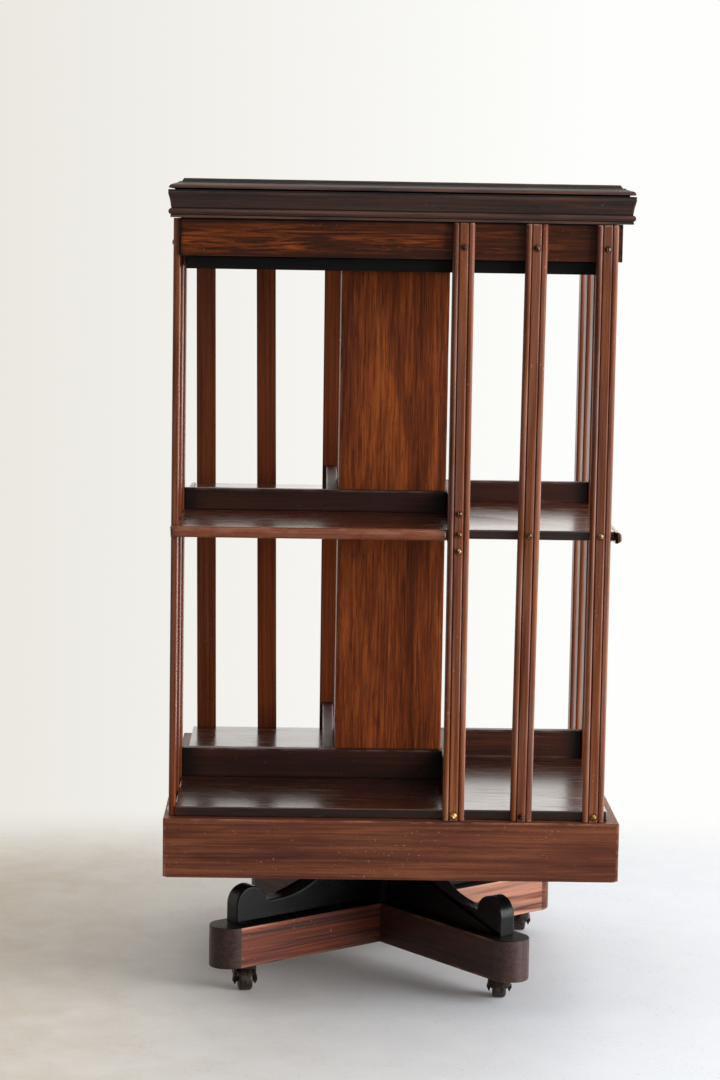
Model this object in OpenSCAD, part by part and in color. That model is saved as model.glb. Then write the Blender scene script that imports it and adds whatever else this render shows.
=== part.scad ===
// Revolving bookcase: a square slatted case with two tiers of books on each face.
// It turns on a centre post that stands in a cross of two lapped beams on casters.
// The origin is on the floor at the turning axis. Up is +Z and the front face looks towards -Y.
// Each face is the front face turned by a quarter about the axis: its left half is open
// and its right half has three reeded slats.

/* [Case] */
// Width and depth of the case over the plinth and the cornice
case_w = 480; // [440:1:540]
// How far the plinth and the cornice stand out past the shelves
overhang = 12; // [9:0.5:14]
// Height of the book space in the lower tier
lower_tier_h = 287.5; // [240:0.1:340]
// Height of the book space in the upper tier
upper_tier_h = 266; // [220:0.1:320]
// Thickness of the bottom shelf
bottom_shelf_t = 10.7; // [8:0.1:16]
// Thickness of the middle shelf
middle_shelf_t = 10; // [8:0.1:14]
// Thickness of the ceiling board over the upper tier
ceiling_t = 13.4; // [10:0.1:22]
// How far the ceiling board lies behind the shelf line
ceiling_setback = 6; // [2:0.5:10]

/* [Plinth] */
// Height of the plinth boards
plinth_h = 63.1; // [50:0.1:80]
// Thickness of the plinth boards
plinth_t = 18; // [16:0.5:24]
// Radius of the worn lower corners of each plinth board
plinth_corner_r = 5; // [2:0.5:9]

/* [Frieze, cornice and top] */
// Height of the frieze boards
frieze_h = 38.8; // [32:0.1:50]
// Thickness of the frieze boards
frieze_t = 20; // [18:0.5:26]
// Radius of the worn lower corners of each frieze board
frieze_corner_r = 2; // [1:0.5:4]
// Height of the cornice moulding
cornice_h = 28.6; // [26:0.1:36]
// Depth of the cornice moulding from front to back
cornice_t = 30; // [27:0.5:32]
// Height of the square nose along the top of the cornice
cornice_nose_h = 4.5; // [2:0.1:6]
// How far the sloping face under the nose runs inwards
cornice_cove_depth = 3; // [2:0.1:4]
// How hollow that face is, against a straight slope
cornice_hollow = 0.5; // [0.2:0.1:1.5]
// Height of the bead under the hollow
bead_h = 6.8; // [5:0.1:8]
// How far the bead stays behind the nose
bead_setback = 0.3; // [0:0.1:1.5]
// Height of the fillet along the bottom of the cornice
cornice_fillet_h = 2.8; // [2:0.1:4]
// How far the fillet stays behind the nose
cornice_fillet_setback = 2.4; // [1.5:0.1:3.5]
// Thickness of the top board
top_t = 11.7; // [11:0.1:16]
// How far the top board's edge stays behind the cornice nose
top_setback = 0.5; // [0:0.1:2]
// Height of the groove under the top board's edge
top_groove_h = 1.3; // [0.8:0.1:2]
// How deep that groove runs in from the edge
top_groove_in = 6; // [4:0.1:10]
// Radius of the rounded nose over the groove
top_nose_r = 4.3; // [3:0.1:5.5]
// Rise of the sloping band between the nose and the small step
top_slope_rise = 2; // [1:0.1:3]
// How far the small step lies in from the top board's edge
top_step_in = 10; // [8:0.1:12]
// Height of the small step
top_step_h = 0.8; // [0.4:0.1:1.4]
// How far the foot of the last slope lies in from the edge
top_rise_in = 13; // [12.2:0.1:14.8]
// How far the flat top lies in from the edge
top_flat_in = 15.2; // [15:0.1:18]

/* [Column and book stops] */
// Width of the hollow square column
column_w = 118.2; // [100:0.1:140]
// Thickness of the column boards
column_t = 10; // [8:0.1:14]
// Thickness of the book stops and of the bearers
stop_t = 12; // [10:0.1:16]
// Height of the book stops on the middle shelf
upper_stop_h = 23.7; // [20:0.1:32]
// Height of the book stops on the bottom shelf
lower_stop_h = 32; // [24:0.1:40]
// Height of the bearers under the middle shelf
bearer_h = 17.5; // [16:0.1:22]

/* [Slats and nosing] */
// Width of each slat
slat_w = 23; // [20:0.1:26]
// Thickness of each slat, and how far the nosing stands out
slat_t = 7; // [5.5:0.1:8]
// Gap from the outer slat's edge to the corner of the shelves
slat_inset = 3; // [2:0.1:8]
// How far the heads of the front slats stand out from even spacing, from the inner slat outwards
front_shifts = [-1.4, -0.4, -1.6]; // [-4:0.1:8]
// How far the heads of the right slats stand out from even spacing
right_shifts = [0, 0.5, -0.6]; // [-4:0.1:8]
// How far the heads of the back slats stand out from even spacing
back_shifts = [0, 7.6, 5]; // [-4:0.1:8]
// How far the heads of the left slats stand out from even spacing
left_shifts = [0.4, -0.8, 0]; // [-4:0.1:8]
// Gap between a slat's foot and the plinth
slat_foot_gap = 0.2; // [0.2:0.1:1]
// Gap between a slat's head and the cornice
slat_head_gap = 0.6; // [0.2:0.1:4]
// Radius of the slat's two outer reeds
reed_r = 3; // [2:0.1:4]
// Width of the flat middle band between the two grooves
band_w = 10; // [7:0.1:11]
// Radius of the two round-bottomed grooves
groove_r = 0.9; // [0.4:0.1:1.1]
// How far the feet of the front slats have slipped, from the inner slat outwards
front_leans = [1.5, -2.6, 0.6]; // [-9:0.1:9]
// How far the feet of the right slats have slipped
right_leans = [-1, 1.2, 0.4]; // [-9:0.1:9]
// How far the feet of the back slats have slipped
back_leans = [-1.9, -8.6, -6.6]; // [-9:0.1:9]
// How far the feet of the left slats have slipped
left_leans = [0.8, -1.5, 1]; // [-9:0.1:9]
// Height of the rounded nosing along the open halves of the middle shelf
nosing_h = 12; // [11:0.1:18]
// Radius of the two front arrises of the nosing
nosing_r = 5; // [3:0.1:5.4]
// Gap between the nosing's end and the slat beside it
nosing_gap = 0.4; // [0.2:0.1:1]

/* [Slat screws] */
// Diameter of the round screw heads
screw_head_d = 6.5; // [5:0.1:8]
// Height of the round screw heads
screw_head_h = 1.7; // [1.2:0.1:2.4]
// Width and depth of the screw slots
screw_slot = 0.9; // [0.6:0.1:1]
// Diameter of the screw shanks
screw_d = 3.2; // [2.5:0.1:4]
// How deep the screws reach behind the slats
screw_bite = 14; // [10:0.5:16]
// Height of the head screws above the bottom of the frieze
head_screw_up = 13.2; // [8:0.1:24]
// Height of the stop screws above the middle shelf
stop_screw_up = 16.7; // [6:0.1:18]
// Depth of the bearer screws below the middle shelf
bearer_screw_down = 12.6; // [6:0.1:13]

/* [Cross and brackets] */
// Width of the cross beams
beam_w = 45; // [38:0.5:54]
// Height of the cross beams
beam_h = 45.5; // [36:0.5:56]
// Distances from the axis to the centres of the beams' rounded ends, in the order of the swivels
beam_reaches = [216, 216, 225, 216]; // [200:1:232]
// Angle that the cross is turned away from the diagonals of the case
cross_turn = -7.5; // [-30:0.5:30]
// Height of the open space between the beams and the plinth
base_gap = 77.6; // [68:0.1:100]
// Thickness of the upright brackets
bracket_t = 20; // [14:0.5:26]
// Distance from the axis to the outer end of each bracket
bracket_reach = 213.5; // [200:0.5:216]
// Length of the round lobe at the bracket's outer end
lobe_w = 40; // [32:0.5:44]
// Height of the lobe above the beam
lobe_h = 41; // [34:0.5:50]
// Height of the bracket's edge between the lobe and the sweep
dip_h = 22.5; // [18:0.5:30]
// Length of the level stretch between the lobe and the sweep
dip_run = 13.5; // [8:0.5:20]
// Radius of the hollow sweep that rises towards the post
sweep_r = 112.5; // [80:0.5:140]
// Gap between the top of the brackets and the plinth's lower edge
bracket_clear = 12.7; // [8:0.1:20]
// Diameter of the screws that hold the brackets down
bracket_screw_d = 4.5; // [3:0.1:6]
// Diameter of the countersunk heads of those screws
bracket_screw_head_d = 9; // [7:0.1:12]
// How deep those screws reach into the brackets
bracket_screw_bite = 15; // [10:0.5:18]
// Distances of those screws from the axis
bracket_screw_at = [60, 150]; // [45:1:170]

/* [Post and pivot] */
// Width of the post's square foot
post_w = 40; // [36:0.5:48]
// Height of the post's square foot
post_foot_h = 100; // [90:1:130]
// Diameter of the post's round shaft
post_d = 38; // [30:0.5:40]
// Diameter of the tenon under the post
tenon_d = 26; // [18:0.5:30]
// How far the tenon stops short of the beams' underside
tenon_short = 2; // [0:0.5:8]
// Height from the top of the post to the ceiling board
post_top_gap = 46; // [38:1:70]
// Diameter of the steel pivot pin
pivot_d = 12; // [8:0.5:14]
// How deep the pivot pin is driven into the post
pivot_seat = 50; // [30:1:80]
// Width of the iron plate under the ceiling board
socket_plate_w = 76; // [60:1:78]
// Thickness of the iron plate
socket_plate_t = 6; // [4:0.5:8]
// Diameter of the boss that takes the pivot pin
boss_d = 30; // [24:0.5:36]
// Height of that boss
boss_h = 14; // [10:0.5:20]
// Diameter of the flange of the collar bush
bush_flange_d = 66; // [60:0.5:80]
// Thickness of that flange
bush_flange_t = 3; // [2:0.5:5]
// Wall of the collar bush
bush_wall = 6; // [4:0.5:10]
// Distance of the plate screws from the pivot axis, along each side of the plate
plate_screw_at = 28; // [24:0.5:28]

/* [Casters] */
// Height of a caster from the floor to the beam
caster_h = 28; // [27.4:0.1:32]
// Distances from the axis to the swivels: front left, front right, back right, back left
caster_reaches = [197, 202, 208, 203]; // [180:1:216]
// Diameter of the caster's plate and width of the fork's hood
caster_plate_d = 25; // [24:0.5:32]
// Thickness of the caster's plate
caster_plate_t = 1.6; // [1.2:0.1:2]
// Diameter of the caster's stem in the beam
stem_d = 8; // [6:0.5:10]
// Length of the caster's stem in the beam
stem_len = 24; // [16:1:34]
// Diameter of the swivel pin
swivel_d = 6; // [5:0.5:8]
// Diameter of the swivel pin's riveted end
rivet_d = 9; // [8.5:0.1:10]
// Thickness of the swivel pin's riveted end
rivet_t = 1.2; // [1:0.1:1.5]
// Height of the hood over the wheel, from the crown's top down
hood_h = 9.6; // [7:0.1:11]
// How far the hood reaches past the axle
hood_lead = 5; // [2:0.5:8]
// Radius of the hood's two front corners
hood_corner_r = 6; // [2:0.5:10]
// Diameter of the wheels
wheel_d = 24; // [20:0.1:24.6]
// Width of the wheels
wheel_w = 15; // [12:0.1:17]
// Radius of the wheels' rounded edges
wheel_edge_r = 3; // [1:0.1:5]
// Diameter of the wheels' hubs
hub_d = 6; // [5.5:0.1:9]
// Distance that each wheel trails behind its swivel
trail = 12; // [10.5:0.5:15]
// Diameter of the axle
axle_d = 3; // [2:0.1:4]
// Diameter of the axle's riveted heads
axle_head_d = 4.6; // [4.2:0.1:6]
// Thickness of the axle's riveted heads
axle_head_t = 0.6; // [0.4:0.1:1.5]
// Gap between the fork's cheeks
fork_gap = 18.4; // [17.8:0.1:20]
// Thickness of the fork's cheeks
cheek_t = 3.8; // [2.5:0.1:4.2]
// Length of the point of each cheek below the axle
cheek_point = 5.5; // [4:0.1:7]
// Width of the blunt tip of that point
cheek_tip_w = 1; // [0.6:0.1:2]
// Rim of each cheek round the axle
cheek_rim = 1.5; // [1:0.1:2.5]
// Directions in which the wheels trail: front left, front right, back right, back left
trail_angles = [-80, 85, 80, 120]; // [-180:1:180]

/* [Clearances] */
// Radial clearance of each shaft that turns
running_fit = 0.08; // [0.03:0.01:0.1]
// Radial clearance of screws, stems and tenons that stay put
fixed_fit = 0.05; // [0.02:0.01:0.2]
// End play between faces that turn on each other
end_play = 0.3; // [0.1:0.05:0.6]
// Gap under the rounded tip of the pivot pin, which carries the case
tip_gap = 0.1; // [0.05:0.05:0.3]
// Gap between the column and the edge of the middle shelf's opening
shelf_fit = 0.1; // [0:0.05:0.4]
// Gap at the end of each stop or bearer that butts against the next one
butt_gap = 0.1; // [0.05:0.05:0.4]

/* [Hidden] */
$fn = 96;
SIDES = ["front", "right", "back", "left"];
CORNERS = ["front_left", "front_right", "back_right", "back_left"];
FACES = [0:3];
SLATS = [0:2];

// Levels from the floor up
z_beam = caster_h;
z_beam_top = z_beam + beam_h;
z_plinth = z_beam_top + base_gap;
z_bottom = z_plinth + plinth_h;
z_lower_tier = z_bottom + bottom_shelf_t;
z_middle = z_lower_tier + lower_tier_h;
z_upper_tier = z_middle + middle_shelf_t;
z_ceiling = z_upper_tier + upper_tier_h;
z_frieze = z_ceiling + ceiling_t;
z_cornice = z_frieze + frieze_h;
z_top = z_cornice + cornice_h;

// Half widths from the axis
case_half = case_w / 2;
shelf_half = case_half - overhang;
column_half = column_w / 2;
nosing_half = shelf_half + slat_t;
top_half = case_half - top_setback;

// Slats
SHIFTS = [front_shifts, right_shifts, back_shifts, left_shifts];
LEANS = [front_leans, right_leans, back_leans, left_leans];
z_slat = z_bottom + slat_foot_gap;
slat_len = z_cornice - slat_head_gap - z_slat;
z_head_screw = z_frieze + head_screw_up;
inner_slat_x = column_half + stop_t / 2;
outer_slat_x = shelf_half - slat_inset - slat_w / 2;
function slat_x(s, i) = inner_slat_x + (outer_slat_x - inner_slat_x) * i / 2 + SHIFTS[s][i];
function lean_angle(s, i) = asin(LEANS[s][i] / (z_head_screw - z_slat));
function lean_at(s, i, z) = tan(lean_angle(s, i)) * (z_head_screw - z);
SHELF_SCREW_LEVELS = [z_bottom + bottom_shelf_t / 2, z_middle + middle_shelf_t / 2];
STOP_SCREW_LEVELS = [z_upper_tier + stop_screw_up, z_middle - bearer_screw_down];
function screw_levels(i) = concat([z_head_screw], SHELF_SCREW_LEVELS, i == 0 ? STOP_SCREW_LEVELS : []);
screw_head_sphere_r = (pow(screw_head_d / 2, 2) + pow(screw_head_h, 2)) / (2 * screw_head_h);
nosing_lean = [for (s = FACES) min(0, lean_at(s, 0, z_upper_tier - nosing_h))];

// Cornice section, measured outwards from the nose and up from the cornice's bottom
bead_r = bead_h / 2;
bead_z = cornice_fillet_h + bead_r;
bead_top = bead_z + bead_r;
cove_run = cornice_h - cornice_nose_h - bead_top;
cove_chord = norm([cornice_cove_depth, cove_run]);
cove_r = (pow(cove_chord / 2, 2) + pow(cornice_hollow, 2)) / (2 * cornice_hollow);
cove_far = (cove_r - cornice_hollow) / cove_chord;
cove_x = cove_far * cove_run - cornice_cove_depth / 2;
cove_z = bead_top + cove_run / 2 - cove_far * cornice_cove_depth;

// Brackets
bracket_h = base_gap - bracket_clear;
lobe_x = bracket_reach - lobe_w;
sweep_x = lobe_x - dip_run;

// Post and pivot
z_post_top = z_ceiling - post_top_gap;
z_pin_tip = z_ceiling - socket_plate_t - tip_gap;
bush_bore_r = post_d / 2 + running_fit;
bush_r = bush_bore_r + bush_wall;

// Casters
z_fork_top = caster_h - caster_plate_t - end_play;
z_crown = wheel_d + end_play;
z_hood = z_fork_top - hood_h;
z_rivet = z_crown - end_play - rivet_t;
hood_r = caster_plate_d / 2;
axle_z = wheel_d / 2;
fork_w = fork_gap + 2 * cheek_t;
hub_w = fork_gap - 2 * end_play;

// Places its children on face s, given as they stand on the front face
module on_face(s) rotate(90 * s) children();

// Places its children on arm k of the cross, given along +X
module on_arm(k) rotate(cross_turn - 135 + 90 * k) children();

// Places its children at the swivel of caster k, with the wheel trailing towards +X
module at_caster(k) on_arm(k) translate([caster_reaches[k], 0, 0])
    rotate(trail_angles[k] - (cross_turn - 135 + 90 * k)) children();

// Places its children on slat i of face s, leaning about its head screw
module on_slat(s, i) on_face(s) translate([slat_x(s, i), 0, z_head_screw])
    rotate([0, -lean_angle(s, i), 0]) translate([0, 0, -z_head_screw]) children();

// Stretch of a square frame with mitred ends, along the front
module mitred(half, t, z, h) translate([0, 0, z]) linear_extrude(h)
    polygon([[-half, -half], [half, -half], [half - t, t - half], [t - half, t - half]]);

// Upright board outline with rounded lower corners
module worn_board_2d(half, h, r) {
    translate([-half, r]) square([2 * half, h - r]);
    translate([r - half, 0]) square([2 * (half - r), h]);
    for (m = [-1, 1]) translate([m * (half - r), r]) circle(r);
}

// Mitred board with worn lower corners, on face s
module worn_board(s, half, t, z, h, r) on_face(s) intersection() {
    mitred(half, t, z, h);
    translate([0, -half + t, z]) rotate([90, 0, 0]) linear_extrude(t) worn_board_2d(half, h, r);
}

// Hole for a slat screw at height z, from in front of the slat to the screw's end
module slat_screw_hole(z) translate([0, -shelf_half - slat_t - 1, z]) rotate([-90, 0, 0])
    cylinder(r = screw_d / 2 + fixed_fit, h = slat_t + screw_bite + 1 + fixed_fit);

// Holes for every slat screw
module slat_screw_holes() for (s = FACES, i = SLATS)
    on_slat(s, i) for (z = screw_levels(i)) slat_screw_hole(z);

// Hole for a plate screw
module plate_screw_holes() for (x = [-1, 1], y = [-1, 1])
    translate([x * plate_screw_at, y * plate_screw_at, z_ceiling - socket_plate_t - 1])
        cylinder(r = screw_d / 2 + fixed_fit, h = socket_plate_t + ceiling_t / 2 + 1);

// Domed screw, its head's flat side on z = 0 and its shank along -Z
module domed_screw(len, turn) {
    difference() {
        rotate_extrude() intersection() {
            translate([0, screw_head_h - screw_head_sphere_r]) circle(screw_head_sphere_r);
            square([screw_head_d / 2, screw_head_h]);
        }
        rotate(turn) translate([-screw_head_d, -screw_slot / 2, screw_head_h - screw_slot])
            cube([2 * screw_head_d, screw_slot, screw_slot + 1]);
    }
    translate([0, 0, -len]) cylinder(d = screw_d, h = len + screw_head_h - screw_slot - 0.1);
}

// Bar that runs from the left shelf edge past the column, as the front stop lies
module stop_bar(z, h) translate([-shelf_half, -column_half - stop_t, z])
    cube([shelf_half + column_half - butt_gap, stop_t, h]);

// Beam of the cross, along X, with rounded ends, holes and a lap of half its height
module beam(lap_up, first_arm) difference() {
    union() {
        for (m = [0, 1]) rotate(180 * m) {
            reach = beam_reaches[first_arm + 2 * m];
            translate([-1, -beam_w / 2, z_beam]) cube([reach + 1, beam_w, beam_h]);
            translate([reach, 0, z_beam]) cylinder(d = beam_w, h = beam_h);
        }
    }
    translate([-beam_w / 2, -beam_w, lap_up ? z_beam + beam_h / 2 : z_beam - 1])
        cube([beam_w, 2 * beam_w, beam_h / 2 + 1]);
    translate([0, 0, z_beam + tenon_short]) cylinder(r = tenon_d / 2 + fixed_fit, h = beam_h);
    for (m = [0, 1]) rotate(180 * m) {
        translate([caster_reaches[first_arm + 2 * m], 0, z_beam - 1])
            cylinder(r = stem_d / 2 + fixed_fit, h = stem_len + 1 + fixed_fit);
        for (x = bracket_screw_at) translate([x, 0, z_beam]) bracket_screw(fixed_fit);
    }
}

// Countersunk bracket screw with its head flush with z = 0, grown by g for its hole
module bracket_screw(g) {
    head_h = (bracket_screw_head_d - bracket_screw_d) / 2;
    translate([0, 0, g > 0 ? -0.01 : 0])
        cylinder(r1 = bracket_screw_head_d / 2 + g, r2 = bracket_screw_d / 2 + g, h = head_h);
    cylinder(r = bracket_screw_d / 2 + g, h = beam_h + bracket_screw_bite + g);
}

module beam_lower() color("#6b2f22") on_arm(0) beam(true, 0);

module beam_upper() color("#6b2f22") on_arm(1) beam(false, 1);

// Upright bracket: a round lobe, a level dip and a hollow sweep that rises to the post
module bracket(k) color("#1b1817") on_arm(k) difference() {
    translate([0, bracket_t / 2, z_beam_top]) rotate([90, 0, 0]) linear_extrude(bracket_t) {
        difference() {
            translate([post_w / 2, 0]) square([sweep_x - post_w / 2, bracket_h]);
            translate([sweep_x, dip_h + sweep_r]) circle(sweep_r, $fn = 240);
        }
        translate([post_w / 2, 0]) square([bracket_reach - lobe_w / 2 - post_w / 2, dip_h]);
        translate([lobe_x, 0]) square([lobe_w, lobe_h - lobe_w / 2]);
        translate([bracket_reach - lobe_w / 2, lobe_h - lobe_w / 2]) circle(lobe_w / 2);
    }
    for (x = bracket_screw_at) translate([x, 0, z_beam]) bracket_screw(fixed_fit);
}

module bracket_screws() color("#8c8478") for (k = FACES, x = bracket_screw_at)
    on_arm(k) translate([x, 0, z_beam]) bracket_screw(0);

// Centre post: tenon, square foot and round shaft, bored for the pivot pin
module post() color("#5a3424") on_arm(0) difference() {
    union() {
        translate([0, 0, z_beam + tenon_short]) cylinder(d = tenon_d, h = beam_h - tenon_short + 1);
        translate([-post_w / 2, -post_w / 2, z_beam_top]) cube([post_w, post_w, post_foot_h]);
        translate([0, 0, z_beam_top + 1]) cylinder(d = post_d, h = z_post_top - z_beam_top - 1);
    }
    translate([0, 0, z_post_top - pivot_seat])
        cylinder(r = pivot_d / 2 + fixed_fit, h = pivot_seat + 1);
}

// Steel pin with a domed tip that carries the case
module pivot_pin() color("#9a9ca0") {
    z_foot = z_post_top - pivot_seat;
    translate([0, 0, z_foot]) rotate_extrude() {
        square([pivot_d / 2, z_pin_tip - pivot_d / 2 - z_foot]);
        intersection() {
            translate([0, z_pin_tip - pivot_d / 2 - z_foot]) circle(pivot_d / 2);
            square([pivot_d, z_pin_tip - z_foot]);
        }
    }
}

// Plates let under the beam ends, each with its stem, swivel pin and riveted end
module caster_plates() color("#4a4038") for (k = FACES) at_caster(k) {
    translate([0, 0, z_beam - caster_plate_t]) cylinder(d = caster_plate_d, h = caster_plate_t);
    translate([0, 0, z_beam - 1]) cylinder(d = stem_d, h = stem_len + 1);
    translate([0, 0, z_rivet]) cylinder(d = swivel_d, h = z_beam - z_rivet - 1);
    translate([0, 0, z_rivet]) cylinder(d = rivet_d, h = rivet_t);
}

// Outline of the fork's hood seen from above, with the wheel trailing towards +X
module hood_2d() {
    front = trail + hood_lead;
    circle(hood_r);
    translate([0, -hood_r]) square([front - hood_corner_r, 2 * hood_r]);
    translate([0, hood_corner_r - hood_r]) square([front, 2 * (hood_r - hood_corner_r)]);
    for (m = [-1, 1]) translate([front - hood_corner_r, m * (hood_r - hood_corner_r)])
        circle(hood_corner_r);
}

// Cheek of the fork that hangs from the hood to a point below the axle
module cheek() intersection() {
    z_tip = axle_z - cheek_point;
    half_w = axle_d / 2 + cheek_rim;
    half_tip = cheek_tip_w / 2;
    inside = fork_gap / 2;
    tip = inside + cheek_t / 2;
    translate([0, inside + 2 * cheek_t, 0]) rotate([90, 0, 0]) linear_extrude(3 * cheek_t) polygon([
        [trail - hood_lead, z_hood + 1], [trail + hood_lead, z_hood + 1], [trail + hood_lead, z_hood],
        [trail + half_w, axle_z], [trail + half_tip, z_tip], [trail - half_tip, z_tip],
        [trail - half_w, axle_z], [trail - hood_lead, z_hood]
    ]);
    rotate([90, 0, 90]) linear_extrude(3 * trail) polygon([
        [inside, z_hood + 1], [hood_r, z_hood + 1], [hood_r, z_hood], [inside + cheek_t, axle_z + axle_d],
        [inside + cheek_t, axle_z - axle_d / 2], [tip + half_tip, z_tip], [tip - half_tip, z_tip],
        [inside, axle_z - axle_d / 2]
    ]);
}

// Fork: a hood over the wheel, two pointed cheeks and the axle riveted through them
module caster_fork(k) color("#3a332d") at_caster(k) {
    difference() {
        translate([0, 0, z_hood]) linear_extrude(hood_h) hood_2d();
        translate([0, 0, z_hood - 1]) cylinder(r = swivel_d / 2 + running_fit, h = hood_h + 2);
        translate([0, 0, z_hood - 1]) cylinder(r = rivet_d / 2 + end_play, h = z_crown - z_hood + 1);
        translate([trail - wheel_d / 2 - 1, -fork_gap / 2, z_hood - 1])
            cube([wheel_d + 2, fork_gap, z_crown - z_hood + 1]);
    }
    for (m = [0, 1]) mirror([0, m, 0]) {
        cheek();
        translate([trail, fork_w / 2 + axle_head_t, axle_z]) rotate([90, 0, 0])
            cylinder(d = axle_head_d, h = axle_head_t);
    }
    translate([trail, fork_w / 2, axle_z]) rotate([90, 0, 0]) cylinder(d = axle_d, h = fork_w);
}

// Wheel with a rounded tread and a hub, turning on the fork's axle
module caster_wheel(k) color("#2e2622") at_caster(k)
    translate([trail, 0, axle_z]) rotate([90, 0, 0]) rotate_extrude() difference() {
        tread_r = wheel_d / 2;
        union() {
            translate([0, -wheel_w / 2]) square([tread_r - wheel_edge_r, wheel_w]);
            translate([0, wheel_edge_r - wheel_w / 2]) square([tread_r, wheel_w - 2 * wheel_edge_r]);
            for (m = [-1, 1]) translate([tread_r - wheel_edge_r, m * (wheel_w / 2 - wheel_edge_r)])
                circle(wheel_edge_r);
            translate([0, -hub_w / 2]) square([hub_d / 2, hub_w]);
        }
        translate([-wheel_d, -wheel_d]) square([wheel_d + axle_d / 2 + running_fit, 2 * wheel_d]);
    }

// Bottom shelf on the plinth, bored for the collar bush and for the slat screws
module bottom_shelf() color("#4a1f18") difference() {
    translate([-shelf_half, -shelf_half, z_bottom])
        cube([2 * shelf_half, 2 * shelf_half, bottom_shelf_t]);
    translate([0, 0, z_bottom - 1]) cylinder(r = bush_r + fixed_fit, h = bottom_shelf_t + 2);
    slat_screw_holes();
}

// Middle shelf round the column
module middle_shelf() color("#4a1f18") difference() {
    translate([-shelf_half, -shelf_half, z_middle])
        cube([2 * shelf_half, 2 * shelf_half, middle_shelf_t]);
    translate([-column_half - shelf_fit, -column_half - shelf_fit, z_middle - 1])
        cube([column_w + 2 * shelf_fit, column_w + 2 * shelf_fit, middle_shelf_t + 2]);
    slat_screw_holes();
}

module ceiling_board() color("#2a1512") difference() {
    half = shelf_half - ceiling_setback;
    translate([-half, -half, z_ceiling]) cube([2 * half, 2 * half, ceiling_t]);
    plate_screw_holes();
}

// Section of the top board over its whole width: groove, nose, slope, small step and last slope
module top_section_2d() {
    nose_x = top_half - top_nose_r;
    nose_top = top_groove_h + top_nose_r;
    step_z = nose_top + top_slope_rise;
    for (m = [0, 1]) mirror([m, 0]) {
        translate([-1, 0]) square([top_half - top_groove_in + 1, top_groove_h + 1]);
        intersection() {
            translate([nose_x, top_groove_h]) circle(top_nose_r);
            translate([nose_x - 1, top_groove_h]) square([top_nose_r + 2, top_nose_r + 1]);
        }
        polygon([
            [-1, top_groove_h], [nose_x, top_groove_h], [nose_x, nose_top], [top_half - top_step_in, step_z],
            [top_half - top_step_in, step_z + top_step_h], [top_half - top_rise_in, step_z + top_step_h],
            [top_half - top_flat_in, top_t], [-1, top_t]
        ]);
    }
}

// Top board with its moulded edge on all four sides
module top_board() color("#3a1a16") translate([0, 0, z_top]) intersection() {
    for_edge() top_section_2d();
    rotate(90) for_edge() top_section_2d();
}

// Runs a section of the top board from front to back
module for_edge() translate([0, case_half, 0]) rotate([90, 0, 0]) linear_extrude(case_w) children();

// Flanged bush in the bottom shelf that steadies the post
module collar_bush() color("#8a6a3a") difference() {
    union() {
        translate([0, 0, z_bottom - bush_flange_t]) cylinder(d = bush_flange_d, h = bush_flange_t);
        translate([0, 0, z_bottom - 1]) cylinder(r = bush_r, h = bottom_shelf_t + 1);
    }
    translate([0, 0, z_bottom - bush_flange_t - 1])
        cylinder(r = bush_bore_r, h = bottom_shelf_t + bush_flange_t + 2);
}

// Iron plate under the ceiling board with a blind boss for the pivot pin
module pivot_socket() color("#55585c") difference() {
    union() {
        translate([-socket_plate_w / 2, -socket_plate_w / 2, z_ceiling - socket_plate_t])
            cube([socket_plate_w, socket_plate_w, socket_plate_t]);
        translate([0, 0, z_ceiling - socket_plate_t - boss_h]) cylinder(d = boss_d, h = boss_h + 1);
    }
    translate([0, 0, z_ceiling - socket_plate_t - boss_h - 1])
        cylinder(r = pivot_d / 2 + running_fit, h = boss_h + 1);
    plate_screw_holes();
}

module plate_screws() color("#8c8478") for (x = [-1, 1], y = [-1, 1])
    translate([x * plate_screw_at, y * plate_screw_at, z_ceiling - socket_plate_t]) mirror([0, 0, 1])
        domed_screw(socket_plate_t + ceiling_t / 2 - 1, 30 * (x + 2 * y));

// Round-headed screws through the slats, each slot at its own angle
module slat_screws() color("#a8843c") for (s = FACES, i = SLATS) on_slat(s, i)
    for (z = screw_levels(i)) translate([0, -shelf_half - slat_t, z]) rotate([90, 0, 0])
        domed_screw(slat_t + screw_bite, 47 * (s + 1) * (i + 2) + z);

// Book stops on the bottom shelf, one from each face, lying round the column
module lower_stops() color("#2b1310") for (s = FACES) on_face(s) stop_bar(z_lower_tier, lower_stop_h);

// Book stops on the middle shelf
module upper_stops() color("#2b1310") difference() {
    for (s = FACES) on_face(s) stop_bar(z_upper_tier, upper_stop_h);
    slat_screw_holes();
}

// Bearers under the middle shelf, on the lines of the stops
module shelf_bearers() color("#2b1310") difference() {
    for (s = FACES) on_face(s) stop_bar(z_middle - bearer_h, bearer_h);
    slat_screw_holes();
}

// Strip section with its back on y = 0, its front at y = -t and its two front arrises rounded
module rounded_strip_2d(w, t, r) intersection() {
    union() {
        translate([0, r - t]) square([w, t - r]);
        translate([r, -t]) square([w - 2 * r, t]);
        for (x = [r, w - r]) translate([x, r - t]) circle(r);
    }
    translate([0, -t]) square([w, t]);
}

// Rounded nosings along the open half of each face, flush with the slats
module shelf_nosings() color("#6a2c20") for (s = FACES) on_face(s) {
    end_x = slat_x(s, 0) - slat_w / 2 + nosing_lean[s] - nosing_gap;
    translate([end_x, -shelf_half, z_upper_tier - nosing_h]) rotate([0, -90, 0])
        linear_extrude(nosing_half + end_x) rounded_strip_2d(nosing_h, slat_t, nosing_r);
}

module plinth(s) color("#6e2e20")
    worn_board(s, case_half, plinth_t, z_plinth, plinth_h, plinth_corner_r);

// Board of the hollow column, butted round the corner against the next one
module column(s) color("#7c3f22") on_face(s)
    translate([-column_half, -column_half, z_lower_tier])
        cube([column_w - column_t, column_t, z_ceiling - z_lower_tier]);

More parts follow.
